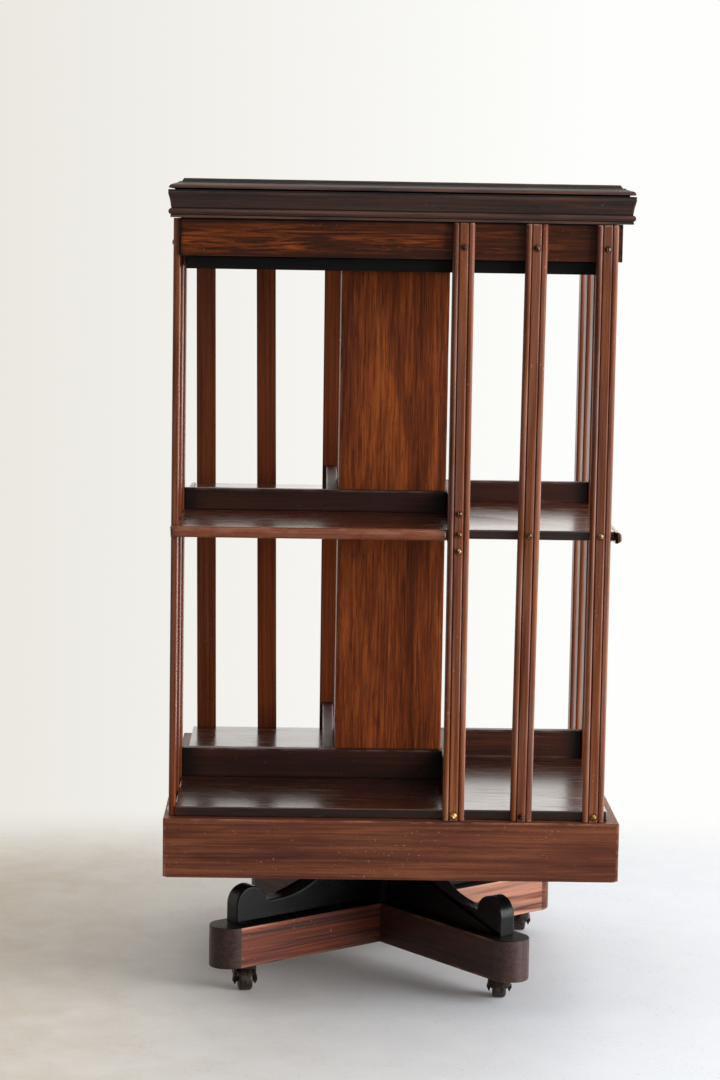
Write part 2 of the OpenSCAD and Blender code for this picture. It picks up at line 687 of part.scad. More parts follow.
module frieze(s) color("#6b2f20") difference() {
    worn_board(s, shelf_half, frieze_t, z_frieze, frieze_h, frieze_corner_r);
    slat_screw_holes();
}

// Section of the cornice, outwards along +X from the nose line
module cornice_section_2d() {
    bead_x = -bead_setback - bead_r;
    difference() {
        translate([-cornice_t, bead_top]) square([cornice_t, cornice_h - bead_top]);
        translate([cove_x, cove_z]) circle(cove_r, $fn = 240);
    }
    translate([-cornice_t, 0]) square([cornice_t - cornice_fillet_setback, cornice_fillet_h]);
    translate([-cornice_t, 0]) square([cornice_t + bead_x, bead_top + 1]);
    translate([bead_x, bead_z]) circle(bead_r);
}

// Cornice moulding with mitred ends
module cornice(s) color("#3a1a16") on_face(s) intersection() {
    mitred(case_half, cornice_t, z_cornice, cornice_h);
    translate([case_half, -case_half, z_cornice]) rotate([90, 0, -90])
        linear_extrude(case_w) cornice_section_2d();
}

// Reeded slat with two grooves, screwed to the frieze, the shelves and the stops
module slat(s, i) color("#6a3020") on_slat(s, i) difference() {
    translate([0, -shelf_half, z_slat]) linear_extrude(slat_len) difference() {
        translate([-slat_w / 2, 0]) rounded_strip_2d(slat_w, slat_t, reed_r);
        for (m = [-1, 1]) translate([m * band_w / 2, -slat_t]) circle(groove_r);
    }
    for (z = screw_levels(i)) slat_screw_hole(z);
}

beam_lower();
beam_upper();
post();
pivot_pin();
caster_plates();
bracket_screws();
for (k = FACES) {
    bracket(k);
    caster_fork(k);
    caster_wheel(k);
}
bottom_shelf();
middle_shelf();
ceiling_board();
top_board();
collar_bush();
pivot_socket();
plate_screws();
slat_screws();
lower_stops();
upper_stops();
shelf_bearers();
shelf_nosings();
for (s = FACES) {
    plinth(s);
    column(s);
    frieze(s);
    cornice(s);
    for (i = SLATS) slat(s, i);
}
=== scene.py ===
from math import acos, asin, cos, hypot, pi, radians, sin, sqrt, tan

import bmesh
import bpy
import numpy as np
from mathutils import Matrix, Vector, noise


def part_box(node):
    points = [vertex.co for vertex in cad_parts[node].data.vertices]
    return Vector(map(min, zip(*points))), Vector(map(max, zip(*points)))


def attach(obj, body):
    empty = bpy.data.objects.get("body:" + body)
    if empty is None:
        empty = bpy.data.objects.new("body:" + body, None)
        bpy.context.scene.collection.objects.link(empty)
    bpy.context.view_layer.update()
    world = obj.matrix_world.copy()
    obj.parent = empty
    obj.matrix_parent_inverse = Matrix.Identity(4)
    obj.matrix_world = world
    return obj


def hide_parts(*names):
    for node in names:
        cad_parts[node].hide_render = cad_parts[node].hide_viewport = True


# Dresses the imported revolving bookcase: most CAD nodes get a detailed piece, the rest a material

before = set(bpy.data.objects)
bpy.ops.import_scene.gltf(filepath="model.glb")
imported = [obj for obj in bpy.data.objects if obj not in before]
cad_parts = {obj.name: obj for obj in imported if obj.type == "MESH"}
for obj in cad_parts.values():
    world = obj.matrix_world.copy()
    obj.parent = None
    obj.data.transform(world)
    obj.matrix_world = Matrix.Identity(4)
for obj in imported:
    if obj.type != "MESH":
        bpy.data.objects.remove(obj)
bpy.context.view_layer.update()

MM = 0.001
SIDES = ["front", "right", "back", "left"]
CORNERS = ["front_left", "front_right", "back_right", "back_left"]


# Sizes in millimetres, read from the CAD nodes or repeated from the part's source

def node_box(node):
    """Lowest and highest corner of a CAD node in millimetres."""
    lo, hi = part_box(node)
    return np.array(lo) / MM, np.array(hi) / MM


(_, _, Z_PLINTH), (CASE, _, _) = node_box("plinth_front")
(_, _, Z_BOTTOM), (SHELF, _, Z_LOWER) = node_box("bottom_shelf")
(_, _, Z_MIDDLE), (_, _, Z_UPPER) = node_box("middle_shelf")
(_, _, Z_CEILING), (CEILING_HALF, _, Z_FRIEZE) = node_box("ceiling_board")
(_, _, Z_TOP), (TOP_HALF, _, _) = node_box("top_board")
Z_CORNICE, COLUMN = node_box("cornice_front")[0][2], node_box("column_right")[1][0]
Z_BEAM, Z_BEAM_TOP = node_box("beam_lower")[0][2], node_box("beam_upper")[1][2]
PLINTH_T, FRIEZE_T, CORNICE_T, COLUMN_T, STOP_T, SLAT_T = 18, 20, 30, 10, 12, 7
UPPER_STOP_H, LOWER_STOP_H, BEARER_H, NOSING_H = 23.7, 32.0, 17.5, 12
SLAT_W, SLAT_INSET, SLAT_FOOT_GAP, SLAT_HEAD_GAP, NOSING_GAP = 23, 3, 0.2, 0.6, 0.4
# By face: how far its three slats stand off even spacing, and how far their feet lean aside
SHIFTS = [[-1.4, -0.4, -1.6], [0, 0.5, -0.6], [0, 7.6, 5], [0.4, -0.8, 0]]
LEANS = [[1.5, -2.6, 0.6], [-1, 1.2, 0.4], [-1.9, -8.6, -6.6], [0.8, -1.5, 1]]
Z_HEAD_SCREW = Z_FRIEZE + 13.2
# The turn of the cross in degrees, and by arm how far from the axis its round end starts
CROSS_TURN, BEAM_W = -7.5, 45
REACHES = [216, 216, 225, 216]
# By arm: how far from the axis its caster stands, and which way the wheel trails in degrees
CASTER_REACHES, TRAIL, TRAILS = [197, 202, 208, 203], 12, [-80, 85, 80, 120]
WHEEL_R, WHEEL_W, WHEEL_EDGE_R, HUB_R, HUB_W, BORE_R = 12, 15, 3, 3, 17.8, 1.6


# Places

def moved(x, y, z):
    return Matrix.Translation((x, y, z))


def turned(angle, axis="Z"):
    """A turn in degrees."""
    return Matrix.Rotation(radians(angle), 4, axis)


def face_turn(s):
    """Turn from the front face to face s."""
    return turned(90 * s)


def arm_angle(k):
    """Direction of arm k of the cross in degrees."""
    return CROSS_TURN - 135 + 90 * k


def arm_turn(k):
    """Turn from the x axis to arm k of the cross."""
    return turned(arm_angle(k))


def at_caster(k):
    """Place of the swivel of caster k on the floor, with local x towards its wheel."""
    return arm_turn(k) @ moved(CASTER_REACHES[k], 0, 0) @ turned(TRAILS[k] - arm_angle(k))


# Local x upwards, local y across the thickness and local z across the width, for upright boards
UPRIGHT = Matrix(((0, 0, 1, 0), (0, 1, 0, 0), (1, 0, 0, 0), (0, 0, 0, 1)))


def slat_x(s, i):
    """Where slat i of face s stands along the face, at its head screw."""
    inner, outer = COLUMN + STOP_T / 2, SHELF - SLAT_INSET - SLAT_W / 2
    return inner + (outer - inner) * i / 2 + SHIFTS[s][i]


def lean_angle(s, i):
    """Angle between slat i of face s and the upright, in radians."""
    return asin(LEANS[s][i] / (Z_HEAD_SCREW - Z_BOTTOM - SLAT_FOOT_GAP))


def lean_at(s, i, z):
    """How far slat i of face s has moved aside at height z."""
    return tan(lean_angle(s, i)) * (Z_HEAD_SCREW - z)


def on_slat(s, i):
    """Place of slat i on face s: local z up, its back on the shelf line and its head screw on the axis."""
    leaning = moved(slat_x(s, i), 0, Z_HEAD_SCREW) @ Matrix.Rotation(-lean_angle(s, i), 4, "Y")
    return face_turn(s) @ leaning @ moved(0, -SHELF, -Z_HEAD_SCREW)


# Mesh helpers

WELD = 2e-6
WAVER_ALONG, WAVER_ACROSS = 80, 35
NICK_ALONG, NICK_ACROSS, NICK_FROM, NICK_SPAN = 7, 5, 0.1, 0.6
GRAIN_STEP = np.array([731.0, 97.0, 53.0])
FADE_SHARE, END_CLEARANCE, MITRE_GAP = 0.45, 0.5, 0.03
END_SHADE_STATIONS = (0.15, 0.4, 0.7, 1)


def hum(x, y, z, seed):
    """Smooth repeatable noise from -1 to 1."""
    return noise.noise(Vector((x + 17.3 * seed, y - 5.1 * seed, z + 9.7 * seed)))


def uneven(p, worn, seed, wave, nick):
    """How far a point lies under its true face: a slow waver, and nicks where it is worn."""
    low = wave * (0.5 + 0.5 * hum(p[0] / WAVER_ALONG, p[1] / WAVER_ACROSS, p[2] / WAVER_ACROSS, seed))
    notch = max(0.0, hum(p[0] / NICK_ALONG, p[1] / NICK_ACROSS, p[2] / NICK_ACROSS, seed + 3) - NICK_FROM)
    return low + nick * worn * notch / NICK_SPAN


def arc_corner(p, a, b, r, seg):
    """Points of a round of radius r at corner p between unit directions a and b, and its reach along them."""
    half = 0.5 * acos(max(-1.0, min(1.0, float(a @ b))))
    t = r / tan(half)
    c = p + (a + b) / np.linalg.norm(a + b) * (r / sin(half))
    s, e = p + a * t - c, p + b * t - c
    angle = acos(max(-1.0, min(1.0, float(s @ e) / (r * r))))
    arc = [c + (sin((1 - k / seg) * angle) * s + sin(k / seg * angle) * e) / sin(angle)
           for k in range(seg + 1)]
    return arc, t


def outline(corners, seg=3, fade=2.0):
    """Closed outline from corners (x, y, radius, worn, dirt and painted shade): points, wear and darkening of
    each.

    A round corner's wear fades out over a length of fade, where its sides are long enough for that.
    """
    rows = []
    corner = [np.array(c[:2], float) for c in corners]
    for i, c in enumerate(corners):
        r = c[2] if len(c) > 2 else 0
        worn = c[3] if len(c) > 3 else float(r > 0)
        dirt_and_shade = c[4] if len(c) > 4 else 0.0
        if r <= 0:
            rows.append((*corner[i], worn, dirt_and_shade))
            continue
        a, b = corner[i - 1] - corner[i], corner[(i + 1) % len(corner)] - corner[i]
        la, lb = np.linalg.norm(a), np.linalg.norm(b)
        a, b = a / la, b / lb
        arc, t = arc_corner(corner[i], a, b, r, seg)
        if t + fade < FADE_SHARE * la:
            rows.append((*(corner[i] + a * (t + fade)), 0, 0))
        rows += [(*q, worn, dirt_and_shade) for q in arc]
        if t + fade < FADE_SHARE * lb:
            rows.append((*(corner[i] + b * (t + fade)), 0, 0))
    rows = np.array(rows, float)
    return rows[:, :2], rows[:, 2], rows[:, 3]


def normals_2d(pts, closed=True):
    """Outward unit normals of an outline, which goes straight on at its ends unless it is closed."""
    nxt, prv = np.roll(pts, -1, 0), np.roll(pts, 1, 0)
    area = np.sum(pts[:, 0] * nxt[:, 1] - nxt[:, 0] * pts[:, 1])
    if not closed:
        nxt[-1], prv[0] = 2 * pts[-1] - pts[-2], 2 * pts[0] - pts[1]
    t = nxt - prv
    n = np.stack([t[:, 1], -t[:, 0]], 1) * (1 if area > 0 else -1)
    return n / np.maximum(np.linalg.norm(n, axis=1), 1e-9)[:, None]


def quads(n, m, steps_on, steps_round):
    """Faces between n rings of m points each, over so many steps from ring to ring and round the rings."""
    faces = []
    for i in range(steps_on):
        a, b = i * m, (i + 1) % n * m
        faces += [(a + k, a + (k + 1) % m, b + (k + 1) % m, b + k) for k in range(steps_round)]
    return faces


def skin(rings):
    """Faces between rings of points, with a cap at each end."""
    n, m = len(rings), len(rings[0])
    return quads(n, m, n - 1, m) + [tuple(range(m - 1, -1, -1)), tuple((n - 1) * m + k for k in range(m))]


def new_object(name, data):
    obj = bpy.data.objects.new(name, data)
    bpy.context.scene.collection.objects.link(obj)
    return obj


def as_piece(name, mesh, material, nodes, body):
    """A smooth shaded piece with flat faces kept flat, that rides on a body and stands for CAD nodes."""
    obj = new_object(name, mesh)
    mesh.materials.clear()
    mesh.materials.append(material)
    mesh.polygons.foreach_set("use_smooth", [True] * len(mesh.polygons))
    weighted = obj.modifiers.new("weighted_normals", "WEIGHTED_NORMAL")
    weighted.keep_sharp, weighted.weight = False, 60
    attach(obj, body)
    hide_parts(*nodes)


class Build:
    """Collects solids in millimetres, each with its grain coordinates, its wear, and its dirt with painted
    shade.
    """

    def __init__(self):
        self.verts, self.faces, self.grain, self.worn, self.dirt_and_shade = [], [], [], [], []

    def add(self, pts, faces, seed, worn, dirt_and_shade=None, place=None):
        """Adds a solid, moved to its place. Its seed gives it its own part of the figure."""
        pts = np.asarray(pts, float).reshape(-1, 3)
        base = len(self.verts)
        self.grain += [tuple(g * MM) for g in pts + seed * GRAIN_STEP]
        if place is not None:
            pts = pts @ np.array(place.to_3x3()).T + np.array(place.translation)
        self.verts += [tuple(p * MM) for p in pts]
        self.faces += [tuple(base + k for k in f) for f in faces]
        self.worn += list(np.asarray(worn, float).ravel())
        self.dirt_and_shade += list(np.zeros(len(pts)) if dirt_and_shade is None else np.asarray(dirt_and_shade, float).ravel())
        return self

    def make(self, name, material, slot, *nodes, body="case"):
        """One piece from all the solids, in metres, with the attributes that the materials read."""
        mesh = bpy.data.meshes.new(name)
        mesh.from_pydata(self.verts, [], self.faces)
        for key, kind, values in (("grain", "FLOAT_VECTOR", self.grain), ("worn", "FLOAT", self.worn),
                                  ("dirt_and_shade", "FLOAT", self.dirt_and_shade)):
            layer = mesh.attributes.new(key, kind, "POINT")
            layer.data.foreach_set("vector" if kind == "FLOAT_VECTOR" else "value",
                                   np.array(values, np.float32).ravel())
        bm = bmesh.new()
        bm.from_mesh(mesh)
        bmesh.ops.remove_doubles(bm, verts=bm.verts, dist=WELD)
        bmesh.ops.recalc_face_normals(bm, faces=bm.faces)
        bm.to_mesh(mesh)
        bm.free()
        as_piece(name, mesh, material, nodes, body)


def end_rings(r, fade, top_angle=90, steps=3):
    """Rings that round an end off: distance from the end, inset and wear of each."""
    rows = []
    for k in range(steps, -1, -1):
        phi = radians(top_angle * k / steps)
        rows.append((r * (1 - sin(phi)), r * (1 - cos(phi)), 1.0))
    return rows + [(r + fade, 0.0, 0.0)]


def bar(build, corners, x0, x1, seed, end_r, step=14, wave=0.1, nick=0.25, fade=2.0, seg=3, place=None,
        mitre=None, low_r=0.0, low_z=0.0, grime=(0.0, 1.0), extra=(), shade_and_dirt=None):
    """A section in (y, z) run along x, its ends rounded off, its faces a little uneven and its arrises worn.

    With mitre = half, the section's outer side is y = -half and both ends are cut at 45 degrees through the
    corners, with a round of end_r on the corner's arris. low_r then rounds the lower corners of the outer
    side, whose foot is at low_z. The argument after low_z is how dark the ends are made and over what length:
    dirt and painted shade where they meet other parts. The last argument, a function of (x, y, z), darkens
    more, with dirt and painted shadow, and extra lists stations that it needs.
    """
    pts, worn, dirt_and_shade = outline(corners, seg, fade)
    nrm = normals_2d(pts)
    ends = end_rings(end_r, fade, 45 if mitre else 90)
    a, b = x0 + ends[-1][0], x1 - ends[-1][0]
    n_mid = max(1, int(round((b - a) / step)))
    inner = set(a + (b - a) * k / n_mid for k in range(1, n_mid))
    if grime[0]:
        for f in END_SHADE_STATIONS:
            inner |= {a + grime[1] * f, b - grime[1] * f}
    inner |= set(x for x in extra if a + END_CLEARANCE < x < b - END_CLEARANCE)
    rows = [(x0 + e, i, w, -1, e) for e, i, w in ends]
    rows += [(x, 0.0, 0.0, 0, 0.0) for x in sorted(inner)]
    rows += [(x1 - e, i, w, 1, e) for e, i, w in reversed(ends)]
    rings, all_worn, all_dirt_and_shade = [], [], []
    for x, inset, end_worn, side, e in rows:
        w = np.maximum(worn, end_worn)
        y, z = pts[:, 0].copy(), pts[:, 1].copy()
        xs = np.full(len(y), float(x))
        if mitre:
            y = np.maximum(y, -mitre + inset)
            depth = y + mitre
            if low_r:
                up = np.clip(low_r - (z - low_z), 0, low_r)
                depth = np.maximum(depth, low_r - np.sqrt(np.maximum(low_r ** 2 - up ** 2, 0)))
            xs = side * (mitre - depth - (e - inset) - MITRE_GAP) if side else (mitre - depth) * (x / mitre)
        else:
            y, z = y - nrm[:, 0] * inset, z - nrm[:, 1] * inset
        # The ends darken: dirt and painted shade where they meet other parts
        near = max(0.0, 1 - min(x - x0, x1 - x) / grime[1])
        d = np.maximum(dirt_and_shade, grime[0] * near ** 2)
        for k in range(len(y)):
            sink = uneven((xs[k], y[k], z[k]), w[k], seed, wave, nick)
            # More darkening where asked: dirt and painted shadow round the slat screws
            if shade_and_dirt:
                d[k] = max(d[k], shade_and_dirt(xs[k], y[k], z[k]))
            y[k] -= nrm[k, 0] * sink
            z[k] -= nrm[k, 1] * sink
        rings.append(np.stack([xs, y, z], 1))
        all_worn.append(w)
        all_dirt_and_shade.append(d)
    return build.add(rings, skin(rings), seed, all_worn, all_dirt_and_shade, place)


def slab(build, corners, y0, y1, seed, r, nick=0.2, rim_fade=1.5, cap_inset=2.0, place=None):
    """An outline in (x, z) given a thickness along y, with both rims rounded off."""
    pts, worn, _ = outline(corners, fade=2.5)
    nrm = normals_2d(pts)
    rim = end_rings(r, 0)[:-1]
    rows = [(y0 + e, i, w) for e, i, w in rim] + [(y0 + r + rim_fade, 0, 0), (y1 - r - rim_fade, 0, 0)]
    rows += [(y1 - e, i, w) for e, i, w in reversed(rim)]
    rings, all_worn = [], []
    for y, inset, rim_worn in rows:
        q = pts - nrm * inset
        w = np.maximum(worn * 0.8, rim_worn)
        for k in range(len(q)):
            q[k] -= nrm[k] * nick * w[k] * max(0.0, hum(q[k, 0] / 8, y / 8, q[k, 1] / 8, seed))
        rings.append(np.stack([q[:, 0], np.full(len(q), float(y)), q[:, 1]], 1))
        all_worn.append(w)
    inner = pts - nrm * (r + cap_inset)
    for at, where in ((y0, 0), (y1, len(rings) + 1)):
        rings.insert(where, np.stack([inner[:, 0], np.full(len(inner), float(at)), inner[:, 1]], 1))
        all_worn.insert(where, np.zeros(len(inner)))
    return build.add(rings, skin(rings), seed, all_worn, None, place)


def square_run(build, section, seed, corner_r=1.5, hole=False, step=16, wave=0.1, nick=0.25):
    """A section (distance from the axis, z, worn, dirt and painted shade) run round a square.

    Without a hole, faces fill the square at the section's first and last point. With one, the section closes
    on itself round it.
    """
    sec = np.array([s[:2] for s in section], float)
    worn = np.array([s[2] for s in section], float)
    dirt_and_shade = [s[3] if len(s) > 3 else 0.0 for s in section]
    outer = sec[:, 0].max()
    flat = outer - corner_r
    nrm = normals_2d(sec, closed=hole)
    n_side = max(2, int(round(2 * outer / step)))
    stations = []
    for side in range(4):
        stations += [(side, -1 + 2 * k / n_side, None) for k in range(n_side + 1)]
        stations += [(side, 1, radians(-90 + 90 * k / 4)) for k in (1, 2, 3)]
    rings, all_worn = [], []
    for side, u, phi in stations:
        turn = radians(90 * side)
        c, s = cos(turn), sin(turn)
        edge = float(abs(u) == 1)
        out = np.array([0.0, -1.0]) if phi is None else np.array([cos(phi), sin(phi)])
        ring, ring_worn = [], []
        for (a, z), n, section_worn in zip(sec, nrm, worn):
            base, r = min(a, flat), max(a - flat, 0.0)
            p = np.array([u * base if phi is None else base, -base]) + r * out
            x, y = c * p[0] - s * p[1], s * p[0] + c * p[1]
            w = max(section_worn, edge if r > 0 else 0.0)
            d = uneven((x, y, z), w, seed, wave, nick)
            ox, oy = c * out[0] - s * out[1], s * out[0] + c * out[1]
            ring.append((x - ox * n[0] * d, y - oy * n[0] * d, z - n[1] * d))
            ring_worn.append(w)
        rings.append(ring)
        all_worn.append(ring_worn)
    n, m = len(rings), len(sec)
    faces = quads(n, m, n, m if hole else m - 1)
    if not hole:
        faces.append(tuple(i * m for i in range(n)))
        faces.append(tuple(i * m + m - 1 for i in range(n - 1, -1, -1)))
    return build.add(rings, faces, seed, all_worn, [dirt_and_shade] * len(rings))


def lathe(build, profile, seed, turns=64, place=None):
    """A closed profile (radius, z, worn) turned about the z axis."""
    a = np.linspace(0, 2 * pi, turns, endpoint=False)
    rings = [np.stack([r * np.cos(a), r * np.sin(a), np.full(turns, float(z))], 1) for r, z, _ in profile]
    faces = quads(len(rings), turns, len(rings), turns)
    worn = [[w] * turns for _, _, w in profile]
    return build.add(rings, faces, seed, worn, None, place)


def bevelled(name, node, material, body, width=0.3):
    """A copy of a CAD node's mesh in its place, its facets merged and its arrises rounded and worn."""
    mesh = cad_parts[node].data.copy()
    mesh.name = name
    bm = bmesh.new()
    bm.from_mesh(mesh)
    bmesh.ops.remove_doubles(bm, verts=bm.verts, dist=WELD)
    bmesh.ops.dissolve_limit(bm, angle_limit=radians(1), verts=bm.verts, edges=bm.edges)
    worn = bm.verts.layers.float.new("worn")
    sharp = [e for e in bm.edges if e.is_manifold and e.calc_face_angle() > radians(30)]
    made = bmesh.ops.bevel(bm, geom=sharp, offset=width * MM, segments=2, profile=0.5, affect="EDGES",
                           clamp_overlap=True)
    for v in made["verts"]:
        v[worn] = 1.0
    bm.to_mesh(mesh)
    bm.free()
    as_piece(name, mesh, material, [node], body)


# Materials

# Scales of the wood's finer figure along and across the grain, per metre
PORES, SHEEN, WAVER = (60, 1100), (9, 24), (12, 30)
FLAMES, FLAME_PATCHES = (13, 170), (6, 30)
SPECKS, SPECK_PATCHES, CHIPS = (330, 470), (18, 26), (55, 150)
# Scratches of two directions: scale per metre, and turn in radians
SCRATCHES = (((12, 520, 60), 0.35), ((16, 640, 60), 1.2))
# Black that the wood turns to under heavy dirt and painted shade
BLACK_OF_DIRT_AND_SHADE = (15, 12, 11)
# Scales of the metal's patina, rust and pits, per metre
MOTTLE, RUST, PITS = (160, 160, 160), (90, 90, 140), (700, 700, 700)


def linear(rgb):
    """A colour from 0 to 255 as Blender's linear colour."""
    return tuple(((c / 255 + 0.055) / 1.055) ** 2.4 if c > 10 else c / 255 / 12.92 for c in rgb) + (1.0,)


def shade(rgb, f):
    """A colour made darker or lighter."""
    return tuple(min(255, c * f) for c in rgb)


class Nodes:
    """A small helper for a tree of shader nodes, which it empties first."""

    def __init__(self, tree):
        self.tree = tree
        self.tree.nodes.clear()

    def link(self, a, b):
        self.tree.links.new(a, b)

    def fill(self, socket, v):
        if isinstance(v, bpy.types.NodeSocket):
            self.link(v, socket)
        else:
            socket.default_value = v

    def node(self, kind, inputs=None, **props):
        n = self.tree.nodes.new("ShaderNode" + kind)
        for k, v in props.items():
            setattr(n, k, v)
        for k, v in (inputs or {}).items():
            self.fill(n.inputs[k], v)
        return n

    def scaled(self, vector, scale, turn=(0, 0, 0)):
        return self.node("Mapping", {"Vector": vector, "Scale": scale, "Rotation": turn}).outputs[0]

    def noise(self, vector, detail=3.0, rough=0.5, distort=0.0):
        inputs = {"Vector": vector, "Scale": 1.0, "Detail": detail, "Roughness": rough, "Distortion": distort}
        return self.node("TexNoise", inputs).outputs["Fac"]

    def figure(self, vector, scale, detail, rough, distort=0.0):
        """Noise with one scale along the grain and another across it."""
        return self.noise(self.scaled(vector, (scale[0], scale[1], scale[1])), detail, rough, distort)

    def math(self, op, a, b=0.0, clamp=False):
        return self.node("Math", {0: a, 1: b}, operation=op, use_clamp=clamp).outputs[0]

    def times(self, *factors):
        out = factors[0]
        for f in factors[1:]:
            out = self.math("MULTIPLY", out, f)
        return out

    def span(self, value, lo, hi, out_lo=0.0, out_hi=1.0):
        inputs = {"Value": value, "From Min": lo, "From Max": hi, "To Min": out_lo, "To Max": out_hi}
        return self.node("MapRange", inputs).outputs[0]

    def mix(self, fac, a, b):
        """Colour a at 0 and colour b at 1."""
        return self.node("Mix", {0: fac, 6: a, 7: b}, data_type="RGBA").outputs[2]

    def ramp(self, fac, stops):
        n = self.node("ValToRGB", {"Fac": fac})
        el = n.color_ramp.elements
        while len(el) < len(stops):
            el.new(0.5)
        for e, (pos, colour) in zip(el, stops):
            e.position, e.color = pos, colour
        return n.outputs["Color"]

    def bump(self, height, distance, strength, normal=None):
        inputs = {"Height": height, "Distance": distance, "Strength": strength}
        if normal is not None:
            inputs["Normal"] = normal
        return self.node("Bump", inputs).outputs[0]


class Mat(Nodes):
    """A node material with one shader."""

    def __init__(self, name):
        self.mat = bpy.data.materials.new(name)
        self.mat.use_nodes = True
        super().__init__(self.mat.node_tree)
        self.out = self.node("OutputMaterial")
        self.bsdf = self.node("BsdfPrincipled")
        self.link(self.bsdf.outputs[0], self.out.inputs["Surface"])

    def object_point(self):
        return self.node("TexCoord").outputs["Object"]

    def attribute(self, name, output="Fac"):
        return self.node("Attribute", attribute_name=name).outputs[output]

    def surface(self, colour, rough, normal, metallic=0.0, specular=0.5):
        for key, v in (("Base Color", colour), ("Roughness", rough), ("Normal", normal),
                       ("Metallic", metallic), ("Specular IOR Level", specular)):
            self.fill(self.bsdf.inputs[key], v)
        return self.mat


def wood(name, dark, mid, light, pale, broad=(2.2, 26.0), fibre=(7.0, 340.0), mixed=0.5, distort=0.5,
         contrast=(0.36, 0.5, 0.64), streaks=None, streak_scale=(5.0, 190.0), flames=None, pore=0.35,
         specks=0.3, chips=0.0, scratches=0.0, worn=0.6, patch=(30.0, 130.0), end=None, rough=(0.3, 0.42),
         specular=0.35, bump=1.0, cad_turn=None):
    """Wood with its grain along the grain coordinate's x, or a CAD node's wood turned by cad_turn.

    broad, fibre, streak_scale and patch are the scales of the slow and the fine figure, the streaks and the
    wear, along and across the grain, per metre. contrast places the three wood colours. streaks is (colour,
    strength, threshold), flames (colour, strength, lowest z, highest z) in metres. The pale colour goes where
    pieces mark wear, and some of those marks are painted highlights. Dirt and painted shade up to a half turn
    the wood to its end colour, and from there to black.
    """
    m = Mat(name)
    p = m.scaled(m.object_point(), (1, 1, 1), cad_turn) if cad_turn else m.attribute("grain", "Vector")
    slow = m.figure(p, broad, 3, 0.55, distort)
    fine = m.figure(p, fibre, 5, 0.62, 0.25)
    value = m.math("ADD", m.times(slow, 1 - mixed), m.times(fine, mixed))
    colour = m.ramp(value, [(at, linear(rgb)) for at, rgb in zip(contrast, (dark, mid, light))])
    if streaks:
        streak_colour, strength, threshold = streaks
        line = m.figure(p, streak_scale, 3, 0.6, 0.5)
        line = m.span(line, threshold, threshold + 0.09)
        colour = m.mix(m.times(line, strength), colour, linear(streak_colour))
    if flames:
        flame_colour, strength, foot, head = flames
        tongue = m.span(m.figure(p, FLAMES, 5, 0.62, 1.1), 0.47, 0.68)
        where = m.span(m.figure(p, FLAME_PATCHES, 2, 0.5), 0.3, 0.58)
        z = m.node("SeparateXYZ", {"Vector": m.object_point()}).outputs["Z"]
        rise = m.span(z, foot, foot + 0.3 * (head - foot))
        fall = m.span(z, head, foot + 0.45 * (head - foot), 0.12, 1.0)
        colour = m.mix(m.times(tongue, where, rise, fall, strength), colour, linear(flame_colour))
    pores = m.span(m.figure(p, PORES, 2, 0.5, 0.2), 0.57, 0.68)
    colour = m.mix(m.times(pores, pore), colour, linear(shade(dark, 0.5)))
    # Pale wear, which also gives painted highlights where a piece marks its lit parts as worn
    rubbed = m.times(m.attribute("worn"), m.span(m.figure(p, patch, 3, 0.6), 0.42, 0.6), worn)
    colour = m.mix(rubbed, colour, linear(pale))
    height = m.math("SUBTRACT", m.times(fine, 0.35), m.times(pores, 0.5))
    roughness = m.span(m.figure(p, SHEEN, 4, 0.6, 0.3), 0.35, 0.65, *rough)
    if specks:
        grit = m.span(m.figure(p, SPECKS, 1, 0.5), 0.7, 0.76)
        where = m.span(m.figure(p, SPECK_PATCHES, 2, 0.5), 0.45, 0.62)
        colour = m.mix(m.times(grit, where, specks), colour, linear(shade(pale, 1.35)))
    if chips:
        chip = m.span(m.figure(p, CHIPS, 3, 0.65, 0.4), 0.7, 0.73)
        colour = m.mix(m.times(chip, chips), colour, linear(shade(pale, 1.15)))
        height = m.math("SUBTRACT", height, chip)
    if scratches:
        marks = [m.noise(m.scaled(p, scale, (0, 0, turn)), 1, 0.5, 0.3) for scale, turn in SCRATCHES]
        lines = m.math("MAXIMUM", *[m.span(mark, 0.68, 0.72) for mark in marks])
        colour = m.mix(m.times(lines, scratches), colour, linear(shade(pale, 1.3)))
        height = m.math("SUBTRACT", height, m.times(lines, 0.8))
        roughness = m.math("ADD", roughness, m.times(lines, 0.25), True)
    # Dirt and painted shade: first the end colour, then black
    dirt_and_shade = m.attribute("dirt_and_shade")
    end = end or shade(dark, 0.6)
    darkened = m.mix(m.span(fine, 0.35, 0.65), linear(shade(end, 0.75)), linear(shade(end, 1.2)))
    colour = m.mix(m.span(dirt_and_shade, 0.0, 0.5), colour, darkened)
    colour = m.mix(m.span(dirt_and_shade, 0.5, 1.0), colour, linear(BLACK_OF_DIRT_AND_SHADE))
    roughness = m.math("ADD", roughness, m.times(rubbed, 0.1), True)
    normal = m.bump(height, 0.00022 * bump, 0.5)
    normal = m.bump(m.figure(p, WAVER, 2, 0.5), 0.0011 * bump, 0.35, normal)
    return m.surface(colour, roughness, normal, specular=specular)


